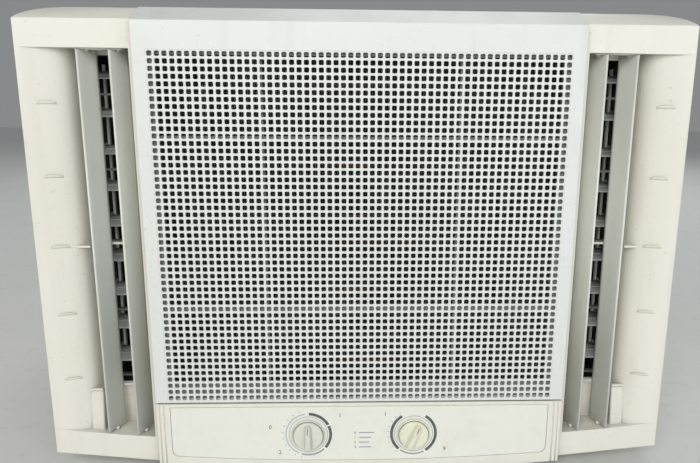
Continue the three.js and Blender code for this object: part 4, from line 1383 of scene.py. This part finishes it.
@dataclass
class SideOutlet:
    """One outlet: two upright vanes, nine linked blades, the link bar, the duct and its pale rungs."""

    patterns: Patterns
    side: Side
    vane_x: dict[str, float] = field(default_factory=lambda: {"inner": 215.5, "outer": 243.5})
    vane_depth: float = 20.5
    vane_chord: float = 24.0
    vane_thick: float = 2.2
    vane_rest: float = 23.0
    vane_top: float = 403.0
    pin: float = 2.0
    blade_count: int = 9
    blade_low: float = 102.5
    blade_pitch: float = 35.0
    blade_depth: float = 58.0
    blade_chord: float = 26.0
    blade_thick: float = 1.8
    blade_rest: float = 15.0
    blade_in: float = 206.2
    blade_out: float = 256.8
    link_x: float = 249.5
    link_half: float = 1.2
    link_arm: float = 18.0
    rung_depth: tuple[float, float] = (33.4, 36.0)
    rung_low: float = 79.0
    rung_mid: float = 225.0
    rung_span: tuple[float, float] = (203.5, 256.5)
    stub_span: tuple[float, float] = (253.8, 267.0)
    stub_depth: tuple[float, float] = (18.6, 21.4)
    stub_low: float = 80.5
    sill_depth: tuple[float, float] = (39.6, 42.3)
    filler_depth: tuple[float, float] = (15.0, 40.5)
    filler_lean: float = 5.0

    def vane(self, low: float) -> bmesh.types.BMesh:
        """Returns a vane about its pivot: a blunt rounded nose, and a slightly cambered tapering blade."""
        half, thick = self.vane_chord / 2, self.vane_thick / 2
        stations = [(-half, 0.45), (-half + 0.25, 0.85), (-half + 1.0, 1.0), (-half * 0.4, 0.85)]
        stations += [(half * 0.3, 0.7), (half * 0.8, 0.5), (half, 0.25)]
        camber = [0.9 * (1 - (y / half) ** 2) - 0.45 for y, _ in stations]
        left = [(c - thick * t, y) for (y, t), c in zip(stations, camber)]
        right = [(c + thick * t, y) for (y, t), c in zip(stations, camber)]
        blade = prism(left + right[::-1], Axis.Z, low, self.vane_top)
        for face in blade.faces:
            face.smooth = len(face.verts) == 4
        # the pins sit just inside the CAD's, in the same holes
        wide, tip, top = self.pin, self.pin - 0.3, self.vane_top
        pin = lathe([(0, low - 2.4), (tip, low - 2.4), (wide, low - 2.0), (wide, low + 1), (0, low + 1)], 12)
        cap = lathe([(0, top - 1), (wide, top - 1), (wide, top + 1.8), (tip, top + 2.2), (0, top + 2.2)], 12)
        stand = Matrix.Rotation(math.radians(90), 4, "X")
        return together(blade, moved(pin, stand), moved(cap, stand))

    def blade(self) -> bmesh.types.BMesh:
        """Returns a blade about its pivot line: a rounded slat with end pins and the link lug."""
        half, mid = self.blade_chord / 2, self.blade_thick / 2
        upper = [(-half, 0.1), (-half * 0.8, 0.6), (-half * 0.3, 1.0), (half * 0.5, 1.0), (half, 0.7)]
        outline = [(y, mid * t) for y, t in upper] + [(y, -mid * t) for y, t in reversed(upper)]
        slat = prism(outline, Axis.X, self.blade_in, self.blade_out)
        for face in slat.faces:
            face.smooth = len(face.verts) == 4
        ends = self.blade_in - 2, self.blade_out + 2
        pins = lathe([(0, ends[0]), (1.5, ends[0]), (1.5, ends[1]), (0, ends[1])], 12)
        lug_x = self.link_x + self.link_half + 0.4
        lug = block((lug_x, half - 1, -mid), (lug_x + 2, self.link_arm + 1.5, mid))
        ends = self.link_x - self.link_half - 0.7, lug_x + 1
        link_pin = lathe([(0, ends[0]), (1.1, ends[0]), (1.1, ends[1]), (0, ends[1])], 10)
        lie = Matrix.Rotation(math.radians(-90), 4, "Z")
        reach = Matrix.Translation((0, self.link_arm * MM, 0))
        return together(slat, moved(pins, lie), soften(lug, 0.4, 2), moved(link_pin, reach @ lie))

    def flipped(self, build: bmesh.types.BMesh) -> bmesh.types.BMesh:
        """Returns a mesh drawn for the right side, mirrored if this is the left side."""
        return moved(build, Matrix.Diagonal((self.side.value, 1, 1, 1)))

    def build(self) -> None:
        """Builds the vanes, blades, link bar, duct and rungs."""
        word = self.side.word
        for which, x in self.vane_x.items():
            node = f"{word}_vane_{which}"
            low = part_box(node)[0].z / MM + 2.6
            turn = Matrix.Rotation(math.radians(self.vane_rest), 4, "Z")
            place = Matrix.Translation(at(x, self.vane_depth, 0)) @ turn
            made = piece(f"{word}_{which}_vane", self.flipped(moved(self.vane(low), place)), VANE_ABS)
            hand_over(made, node, [node])
        self.build_blades(word)
        bar = piece(f"{word}_link", soften(cad_copy(f"{word}_link_bar"), 0.3, 2), VANE_ABS)
        hand_over(bar, f"{word}_link_bar", [f"{word}_link_bar"])
        duct = piece(f"{word}_duct", soften(cad_copy(f"{word}_outlet_duct"), 0.5, 2), DUCT_ABS)
        hand_over(duct, "root", [f"{word}_outlet_duct"])
        self.build_rungs(word)
        carrier = block((209.5, front(12) / MM, 403.4), (250.5, front(31) / MM, 404.4))
        made = piece(f"{word}_vane_carrier", self.flipped(soften(carrier, 0.3, 2)), IVORY_ABS)
        hand_over(made, "root")

    def build_blades(self, word: str) -> None:
        """Builds the blades, each of which rides on its own body."""
        tilt = Matrix.Rotation(math.radians(self.blade_rest), 4, "X")
        for i in range(self.blade_count):
            spot = at(0, self.blade_depth, self.blade_low + i * self.blade_pitch)
            name = f"{word}_blade_{i + 1}"
            made = self.patterns.row.run(
                f"{word}_slat_{i + 1}",
                BLADE_ABS,
                unit=self.flipped(moved(self.blade(), tilt)),
                count=1,
                start=spot,
                step=(0, 0, 0),
                stray=(0, 0, 0),
                seed=i,
            )
            hand_over(made, name, [name])

    def build_rungs(self, word: str) -> None:
        """Builds the two fixed pale rungs that cross the window, and the sill wall under the lower one."""
        near, far = (front(depth) / MM - front(0) / MM for depth in self.rung_depth)
        x0, x1 = self.rung_span
        unit = soften(block((x0, near, -1.1), (x1, far, 1.1)), 0.4, 2)
        made = self.patterns.row.run(
            f"{word}_window_rungs",
            IVORY_ABS,
            unit=self.flipped(unit),
            count=2,
            start=at(0, 0, self.rung_low),
            step=(0, 0, (self.rung_mid - self.rung_low) * MM),
            stray=(0, 0, 0),
            seed=2,
        )
        hand_over(made, "root")
        near, far = (front(depth) / MM - front(0) / MM for depth in self.stub_depth)
        x0, x1 = self.stub_span
        stub = soften(block((x0, near, -1.1), (x1, far, 1.1)), 0.4, 2)
        made = self.patterns.row.run(
            f"{word}_scoop_rungs",
            IVORY_ABS,
            unit=self.flipped(stub),
            count=2,
            start=at(0, 0, self.stub_low),
            step=(0, 0, (self.rung_mid - self.stub_low) * MM),
            stray=(0, 0, 0),
            seed=2,
        )
        hand_over(made, "root")
        y0, y1 = (front(depth) / MM for depth in self.sill_depth)
        sill = block((204.6, y0, 65), (256.0, y1, 79))
        y0, y1 = (front(depth) / MM for depth in self.filler_depth)
        top = self.stub_low - 1.5
        filler = prism([(y0, 34), (y1, 34), (y1, top), (y0 + self.filler_lean, top)], Axis.X, x0, x1)
        walls = self.flipped(together(soften(sill, 0.4, 2), soften(filler, 1.8, 3)))
        hand_over(piece(f"{word}_window_sill", walls, IVORY_ABS), "root")


# ---------------------------------------------------------------- cabinet


@dataclass
class Cabinet:
    """The steel sleeve with its louvres, beads, screws, base pan, inlet grommet and rear wire guard."""

    patterns: Patterns
    half: float = 280.0
    top: float = 425.0
    rear: float = 560.0
    louvre_rows: int = 6
    louvre_low: float = 95.0
    louvre_step: float = 54.0
    side_starts: tuple[float, float] = (395.0, 470.0)
    side_length: float = 60.0
    top_starts: tuple[float, float] = (-190.0, 30.0)
    top_depths: tuple[float, float] = (410.0, 450.0)
    top_length: float = 160.0
    hood_rise: float = 4.5
    hood_width: float = 13.0
    guard_low: float = 28.0
    guard_high: float = 421.0
    guard_half: float = 276.0
    wire: float = 1.4
    wire_pitch: float = 13.0

    def hood(self, length: float) -> bmesh.types.BMesh:
        """Returns a pressed louvre hood, long in X, rising in -Y, open at its lower edge."""
        half, rise, width, sheet = length / 2 + 3, self.hood_rise, self.hood_width, 0.9
        build = bmesh.new()
        stations = 10
        rings = []
        for i in range(stations + 1):
            along = -1 + 2 * i / stations
            swell = min(1.0, (1 - abs(along)) * length / 16 + 0.04)
            outer = [(width / 2 * (1 - 2 * j / 6), -rise * swell * math.sin(math.pi / 2 * j / 6)) for j in range(7)]
            inner = [(z, y + sheet * max(swell, 0.4)) for z, y in reversed(outer)]
            rings.append([build.verts.new((half * along * MM, y * MM, z * MM)) for z, y in outer + inner])
        count = len(rings[0])
        for one, two in zip(rings, rings[1:]):
            for i in range(count):
                j = (i + 1) % count
                build.faces.new((one[i], one[j], two[j], two[i]))
        for end in (rings[0], rings[-1]):
            build.faces.new(end)
        for face in build.faces:
            face.smooth = len(face.verts) == 4
        return outward(build)

    def build(self) -> None:
        """Builds everything of the cabinet."""
        sleeve = piece("steel_sleeve", soften(cad_copy("outer_cabinet"), 0.7, 2), CABINET_PAINT)
        hand_over(sleeve, "root", ["outer_cabinet"])
        pan = piece("steel_base_pan", soften(cad_copy("base_pan"), 0.6, 2), ZINC_SHEET)
        hand_over(pan, "root", ["base_pan"])
        self.build_louvres()
        self.build_beads()
        self.build_screws()
        self.build_guard()
        self.build_grommet()

    def build_louvres(self) -> None:
        """Builds the louvre hoods on the sides and the top."""
        for side in Side:
            turn = Matrix.Rotation(side.value * math.radians(90), 4, "Z")
            for number, start in enumerate(self.side_starts, 1):
                middle = start + self.side_length / 2
                hoods = self.patterns.row.run(
                    f"{side.word}_louvres_{number}",
                    CABINET_PAINT,
                    unit=moved(self.hood(self.side_length), turn),
                    count=self.louvre_rows,
                    start=at(side.value * self.half, middle, self.louvre_low),
                    step=(0, 0, self.louvre_step * MM),
                    stray=(0, 0, 0),
                    seed=3,
                )
                hand_over(hoods, "root")
        lay = Matrix.Rotation(math.radians(-90), 4, "X")
        for number, x in enumerate(self.top_starts, 1):
            hoods = self.patterns.row.run(
                f"top_louvres_{number}",
                CABINET_PAINT,
                unit=moved(self.hood(self.top_length), lay),
                count=len(self.top_depths),
                start=at(x + self.top_length / 2, self.top_depths[0] + 5, self.top),
                step=(0, (self.top_depths[1] - self.top_depths[0]) * MM, 0),
                stray=(0, 0, 0),
                seed=3,
            )
            hand_over(hoods, "root")

    def build_beads(self) -> None:
        """Builds the stiffening beads pressed into the sheet."""
        radius, sunk = 3.5, 2.4
        z = self.top - sunk
        top = [at(x, y, z) for x, y in ((-235, 110), (235, 110), (235, 370), (-235, 370))]
        bead = self.patterns.tube.along("top_bead", CABINET_PAINT, top, radius, 28, closed=True)
        hand_over(bead, "root")
        for side in Side:
            x = side.value * (self.half - sunk)
            loop = [at(x, y, z) for y, z in ((130, 75), (360, 75), (360, 375), (130, 375))]
            bead = self.patterns.tube.along(f"{side.word}_side_bead", CABINET_PAINT, loop, radius, 28, closed=True)
            hand_over(bead, "root")

    def screw(self) -> bmesh.types.BMesh:
        """Returns a hexagon washer-head screw, its head rising in -Y."""
        washer = lathe([(0, 0.4), (4.4, 0.4), (4.5, 0.0), (4.1, -0.7), (3.2, -0.9), (0, -0.9)], 20)
        hexagon = lathe([(0, -0.5), (3.2, -0.5), (3.2, -2.5), (2.7, -2.9), (0, -2.9)], 6)
        for face in hexagon.faces:
            face.smooth = False
        slot = block((-2.2, -3.0, -0.3), (2.2, -2.2, 0.3))
        return together(washer, carved(hexagon, slot))

    def build_screws(self) -> None:
        """Builds the screws along the rear edges and behind the moulded front."""
        sides = {Side.LEFT: -90, Side.RIGHT: 90}
        runs: list[tuple[str, float, str, Point, Point, int]] = []
        for side, turn in sides.items():
            x = side.value * self.half
            runs.append((f"{side.word}_rear", turn, "Z", (x, 549, 60), (0, 0, 110), 4))
            runs.append((f"{side.word}_front", turn, "Z", (x, 90, 55), (0, 0, 157), 3))
        runs.append(("top_rear", -90, "X", (-210, 549, self.top), (140, 0, 0), 4))
        runs.append(("top_front", -90, "X", (-200, 90, self.top), (200, 0, 0), 3))
        for word, turn, axis, start, step, count in runs:
            unit = moved(self.screw(), Matrix.Rotation(math.radians(turn), 4, axis))
            screws = self.patterns.row.run(
                f"{word}_screws",
                ZINC_SCREW,
                unit=unit,
                count=count,
                start=at(*start),
                step=Vector(step) * MM,
                stray=(0, 0, 0),
                seed=5,
            )
            hand_over(screws, "root")

    def build_guard(self) -> None:
        """Builds the rear guard: a flat rim, level wires and upright stays."""
        y0, y1 = front(552) / MM, front(556) / MM
        half, low, high, rim = self.guard_half, self.guard_low, self.guard_high, 14
        outer = block((-half, y0, low), (half, y1, high))
        inner = block((rim - half, y0 - 1, low + rim), (half - rim, y1 + 1, high - rim))
        frame = piece("guard_rim", soften(carved(outer, inner), 0.8, 2), CABINET_PAINT)
        hand_over(frame, "root", ["rear_guard"])
        along = Matrix.Rotation(math.radians(-90), 4, "Z")
        reach = half - rim + 3
        wire = lathe([(0, -reach), (self.wire, -reach), (self.wire, reach), (0, reach)], 8)
        level = self.patterns.row.run(
            "guard_level_wires",
            CABINET_PAINT,
            unit=moved(wire, along),
            count=int((high - low - 2 * rim) / self.wire_pitch),
            start=at(0, 553.6, low + rim + self.wire_pitch / 2),
            step=(0, 0, self.wire_pitch * MM),
            stray=(0, 0.0008, 0.0008),
            seed=6,
        )
        hand_over(level, "root")
        tall = (high - low) / 2 - rim + 3
        stay = lathe([(0, -tall), (self.wire + 0.4, -tall), (self.wire + 0.4, tall), (0, tall)], 8)
        stays = self.patterns.row.run(
            "guard_stays",
            CABINET_PAINT,
            unit=moved(stay, Matrix.Rotation(math.radians(90), 4, "X")),
            count=5,
            start=at(-176, 555.4, (low + high) / 2),
            step=(88 * MM, 0, 0),
            stray=(0, 0, 0),
            seed=6,
        )
        hand_over(stays, "root")
        corners = self.patterns.row.run(
            "guard_screws_low",
            ZINC_SCREW,
            unit=moved(self.screw(), Matrix.Rotation(math.radians(180), 4, "Z")),
            count=4,
            start=at(7 - half, 556, low + 7),
            step=((2 * half - 14) / 3 * MM, 0, 0),
            stray=(0, 0, 0),
            seed=7,
        )
        hand_over(corners, "root")
        corners = self.patterns.row.run(
            "guard_screws_high",
            ZINC_SCREW,
            unit=moved(self.screw(), Matrix.Rotation(math.radians(180), 4, "Z")),
            count=4,
            start=at(7 - half, 556, high - 7),
            step=((2 * half - 14) / 3 * MM, 0, 0),
            stray=(0, 0, 0),
            seed=8,
        )
        hand_over(corners, "root")

    def build_grommet(self) -> None:
        """Builds the waisted rubber grommet of the power inlet."""
        out, sheet, lip = self.half + 0.4, self.half - 1.9, 2.5
        profile = [
            (4.2, sheet - lip + 0.5),
            (4.9, sheet - lip),
            (9.8, sheet - lip),
            (10.5, sheet - lip + 0.7),
            (10.5, sheet),
            (7.4, sheet),
            (7.4, out),
            (10.5, out),
            (10.5, out + lip - 1.4),
            (9.4, out + lip - 0.4),
            (5.4, out + lip),
            (4.2, out + lip - 0.8),
        ]
        place = Matrix.Translation(at(0, 110, 40)) @ Matrix.Rotation(math.radians(-90), 4, "Z")
        grommet = piece("power_inlet_grommet", moved(lathe(profile, 32), place), MOULDED_RUBBER)
        hand_over(grommet, "root", ["inlet_grommet"])


# ---------------------------------------------------------------- cooling chassis


@dataclass
class Coil:
    """A finned coil: thin fins on copper tubes between two end plates, with return bends."""

    patterns: Patterns
    name: str
    node: str
    half: float
    front_face: float
    rear_face: float
    low: float
    high: float
    flange: float
    fin_pitch: float
    fin: float
    tube_pitch: float = 25.4
    tube_radius: float = 4.6

    def plates(self) -> bmesh.types.BMesh:
        """Returns the two flanged end plates."""
        y0, y1 = front(self.front_face) / MM, front(self.rear_face) / MM
        parts = []
        for side in (-1, 1):
            near, far = sorted((side * (self.half - 1), side * (self.half + 1)))
            foot = sorted((side * (self.half - 1), side * (self.half + self.flange)))
            plate = block((near, y0, self.low), (far, y1, self.high))
            flange = block((foot[0], y1 - 2, self.low), (foot[1], y1, self.high))
            parts += [soften(plate, 0.3, 2), soften(flange, 0.3, 2)]
        return together(*parts)

    def bend(self) -> bmesh.types.BMesh:
        """Returns one return bend between two tubes, rising in +X from its own middle."""
        build = bmesh.new()
        sides, steps, radius, turn = 10, 8, self.tube_radius, self.tube_pitch / 2
        rings = []
        for i in range(steps + 1):
            angle = math.pi * i / steps
            out, up = math.sin(angle), -math.cos(angle)
            ring = []
            for j in range(sides):
                t = 2 * math.pi * j / sides
                reach = turn + radius * math.cos(t)
                spot = (reach * out * 0.72, radius * math.sin(t), reach * up)
                ring.append(build.verts.new(Vector(spot) * MM))
            rings.append(ring)
        for one, two in zip(rings, rings[1:]):
            for i in range(sides):
                j = (i + 1) % sides
                build.faces.new((one[i], one[j], two[j], two[i])).smooth = True
        build.faces.new(rings[0])
        build.faces.new(rings[-1])
        return outward(build)

    def build(self) -> None:
        """Builds the plates, fins, tubes and bends."""
        hand_over(piece(f"{self.name}_plates", self.plates(), ZINC_SHEET), "root", [self.node])
        y0, y1 = self.front_face + 1, self.rear_face - 2.2
        middle = (y0 + y1) / 2
        depth, tall = (y1 - y0) / 2, (self.high - self.low) / 2 - 1
        fin = block((-self.fin / 2, -depth, -tall), (self.fin / 2, depth, tall))
        count = int(2 * (self.half - 2) / self.fin_pitch)
        fins = self.patterns.row.run(
            f"{self.name}_fins",
            FIN_FOIL,
            unit=fin,
            count=count,
            start=at(-(count - 1) * self.fin_pitch / 2, middle, (self.low + self.high) / 2),
            step=(self.fin_pitch * MM, 0, 0),
            stray=(0, 0.0004, 0.012),
            seed=11,
        )
        hand_over(fins, "root")
        rows = int((self.high - self.low - 12) / self.tube_pitch)
        reach = self.half + 2
        for number, tube_depth in enumerate((y0 + 8.5, y1 - 8.5), 1):
            tube = lathe([(0, -reach), (self.tube_radius, -reach), (self.tube_radius, reach), (0, reach)], 10)
            tubes = self.patterns.row.run(
                f"{self.name}_tubes_{number}",
                COPPER_TUBE,
                unit=moved(tube, Matrix.Rotation(math.radians(90), 4, "Z")),
                count=rows,
                start=at(0, tube_depth, self.low + 12),
                step=(0, 0, self.tube_pitch * MM),
                stray=(0, 0, 0),
                seed=12,
            )
            hand_over(tubes, "root")
            for side in Side:
                offset = 0 if side is Side.RIGHT else 1
                flip = Matrix.Diagonal((side.value, 1, 1, 1))
                bends = self.patterns.row.run(
                    f"{self.name}_{side.word}_bends_{number}",
                    COPPER_TUBE,
                    unit=moved(self.bend(), flip),
                    count=(rows - offset) // 2,
                    start=at(side.value * reach, tube_depth, self.low + 12 + self.tube_pitch * (0.5 + offset)),
                    step=(0, 0, 2 * self.tube_pitch * MM),
                    stray=(0, 0, 0),
                    seed=13,
                )
                hand_over(bends, "root")


@dataclass
class CoolingChassis:
    """What lies inside the cabinet: coils, fans, motor, compressor, pipes and switch gear."""

    patterns: Patterns
    softened: dict[str, tuple[str, str, float, Finish, str]] = field(
        default_factory=lambda: {
            "bulkhead": ("steel_bulkhead", "root", 0.5, ZINC_SHEET, "galvanised_steel"),
            "fan_shroud": ("steel_fan_shroud", "root", 0.5, ZINC_SHEET, "galvanised_steel"),
            "motor_bracket": ("steel_motor_bracket", "root", 0.6, ZINC_SHEET, "galvanised_steel"),
            "control_box": ("steel_switch_tray", "root", 0.4, ZINC_SHEET, "galvanised_steel"),
            "thermostat": ("thermostat_case", "root", 0.6, ZINC_SHEET, "galvanised_steel"),
            "selector_switch": ("selector_case", "root", 0.8, BLACK_PLASTIC, "black_plastic"),
            "fan_motor": ("motor_can", "root", 0.8, ZINC_SHEET, "galvanised_steel"),
            "compressor": ("compressor_shell", "root", 1.5, BLACK_ENAMEL, "black_enamel"),
            "suction_accumulator": ("accumulator_shell", "root", 0.8, BLACK_ENAMEL, "black_enamel"),
            "filter_drier": ("drier_shell", "root", 0.5, COPPER_TUBE, "copper"),
            "run_capacitor": ("capacitor_can", "root", 1.0, CAN_ALUMINIUM, "aluminium_can"),
            "blower_housing": ("blower_scroll", "root", 0.6, BLACK_PLASTIC, "black_plastic"),
            "blower_wheel": ("blower_rotor", "fan_rotor", 0.3, BLACK_PLASTIC, "black_plastic"),
            "condenser_fan": ("condenser_propeller", "fan_rotor", 0.4, BLACK_PLASTIC, "black_plastic"),
        }
    )
    dressed: dict[str, Finish] = field(
        default_factory=lambda: {
            "motor_shaft": GROUND_STEEL,
            "mode_spindle": GROUND_STEEL,
            "thermostat_spindle": GROUND_STEEL,
            "discharge_pipe": COPPER_TUBE,
            "suction_pipe": COPPER_TUBE,
            "capillary_tube": COPPER_TUBE,
        }
    )

    def build(self, nodes: dict[str, bpy.types.Object]) -> None:
        """Builds the chassis.

        Args:
            nodes: the CAD nodes by name; those that stay get a finish.
        """
        evaporator = ("evaporator", "evaporator_coil", 180.0, 44.0, 84.0, 84.0, 402.0, 12.0, 2.1, 0.3)
        condenser = ("condenser", "condenser_coil", 238.0, 506.0, 546.0, 8.0, 414.0, 14.0, 2.6, 0.35)
        for values in (evaporator, condenser):
            Coil(self.patterns, *values).build()
        for node, (name, body, width, finish, slot) in self.softened.items():
            made = piece(name, soften(cad_copy(node), width, 2), finish)
            hand_over(made, body, [node])
        for node, finish in self.dressed.items():
            mesh = nodes[node].data
            mesh.materials.clear()
            mesh.materials.append(finish.material())
            log.info("%s: dressed as %s", node, finish.name)
        self.build_mounts()
        self.build_leads()

    def build_mounts(self) -> None:
        """Builds the compressor's three rubber feet as one row and one single foot."""
        profile = [(3, 0), (11, 0), (12, 1.2), (12, 7), (9, 9), (9, 12), (12, 14), (12, 20), (10.5, 21.5), (3, 21.5)]
        stand = Matrix.Rotation(math.radians(90), 4, "X")
        for name, x, y, count in (("wide", -247.0, 318.0, 2), ("rear", -185.0, 376.0, 1)):
            feet = self.patterns.row.run(
                f"compressor_feet_{name}",
                MOULDED_RUBBER,
                unit=moved(lathe(profile, 20), stand),
                count=count,
                start=at(x, y, 4.6),
                step=(124 * MM, 0, 0),
                stray=(0, 0, 0),
                seed=9,
            )
            hand_over(feet, "root")

    def build_leads(self) -> None:
        """Builds the fixed leads from the switch tray to the motor and the compressor."""
        routes = {
            "motor_lead": [(100, 60, 66), (150, 110, 52), (150, 215, 48), (60, 225, 120), (30, 228, 200)],
            "compressor_lead": [(-90, 60, 66), (-150, 110, 52), (-150, 215, 52), (-112, 290, 120), (-112, 318, 190)],
        }
        for name, corners in routes.items():
            route = [at(*corner) for corner in corners]
            lead = self.patterns.tube.along(name, MOULDED_RUBBER, route, 2.6, 22)
            hand_over(lead, "root")


# ---------------------------------------------------------------- studio


@dataclass
class Studio:
    """A plain pale floor, soft light, and the camera, whose Y is measured from the intake grille's face."""

    lens: float = 32.914
    shift: float = -0.0429
    spot: Point = (-0.0045, -0.5742, 0.3671)
    right: Point = (0.99933, -0.0356, 0.00822)
    up: Point = (-0.00057, 0.2098, 0.97775)

    def camera(self) -> None:
        """Makes the camera a little above the object's middle, close in front."""
        data = bpy.data.cameras.new("camera")
        data.lens, data.shift_x, data.sensor_width = self.lens, self.shift, 36
        camera = bpy.data.objects.new("camera", data)
        x, y = Vector(self.right), Vector(self.up)
        z = x.cross(y)
        turned = Matrix((x, y, z)).transposed().to_4x4()
        camera.matrix_world = Matrix.Translation(Vector(self.spot) + Vector((0, face_y(), 0))) @ turned
        bpy.context.scene.collection.objects.link(camera)
        bpy.context.scene.camera = camera

    def light(self, name: str, spot: Point, aim: Point, size: float, power: float, tint: str) -> None:
        """Makes one square softbox.

        Args:
            name: the light's name.
            spot: where it is.
            aim: what it points at.
            size: its side in metres.
            power: its power in watts.
            tint: its colour.
        """
        data = bpy.data.lights.new(name, "AREA")
        data.size, data.energy, data.color = size, power, linear(tint)[:3]
        lamp = bpy.data.objects.new(name, data)
        lamp.location = spot
        lamp.rotation_euler = (Vector(aim) - Vector(spot)).to_track_quat("-Z", "Y").to_euler()
        bpy.context.scene.collection.objects.link(lamp)

    def build(self) -> None:
        """Builds the floor, the lights, the sky and the camera."""
        build = bmesh.new()
        bmesh.ops.create_grid(build, x_segments=1, y_segments=1, size=6)
        build.transform(Matrix.Translation((0, 0, -0.0005)))
        # the floor's corner mask lays a faint painted shadow on it round the cabinet's foot
        floor = piece("floor", build, MouldedPlastic("pale_floor", "e6e7e5", 0.8, stain="dedfdd", dust_share=0.1))
        self.light("key", (-0.7, -2.6, 1.5), (0, -0.2, 0.2), 1.7, 41, "fffdf8")
        self.light("fill", (1.3, -2.3, 0.9), (0, -0.2, 0.2), 1.5, 16, "f6f9ff")
        self.light("rear", (0.4, 2.4, 1.9), (0, 0.1, 0.2), 1.6, 26, "ffffff")
        bpy.context.scene.view_settings.view_transform = "Standard"
        world = bpy.data.worlds.new("studio")
        bpy.context.scene.world = world
        world.use_nodes = True
        sky = world.node_tree.nodes["Background"]
        sky.inputs["Color"].default_value = linear("e9ecef")
        sky.inputs["Strength"].default_value = 0.3
        self.camera()


# ---------------------------------------------------------------- whole


def main() -> None:
    """Builds the looks round the frame, in order."""
    logging.basicConfig(level=logging.INFO, format="%(name)s: %(message)s")
    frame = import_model()
    patterns = Patterns()
    FrontFrame(patterns).build()
    IntakeGrille(patterns).build()
    AirFilter(patterns).build()
    ControlPanel(patterns).build()
    Knob(patterns, "mode_dial_knob", "mode_control", "mode_knob", -51.7, 0, KNOB_PLASTIC).build()
    Knob(patterns, "thermostat_dial_knob", "thermostat_control", "thermostat_knob", 51.7, 22, YELLOWED_KNOB).build()
    for side in Side:
        SideOutlet(patterns, side).build()
    Cabinet(patterns).build()
    CoolingChassis(patterns).build(frame["nodes"])
    Studio().build()


if __name__ == "__main__":
    main()
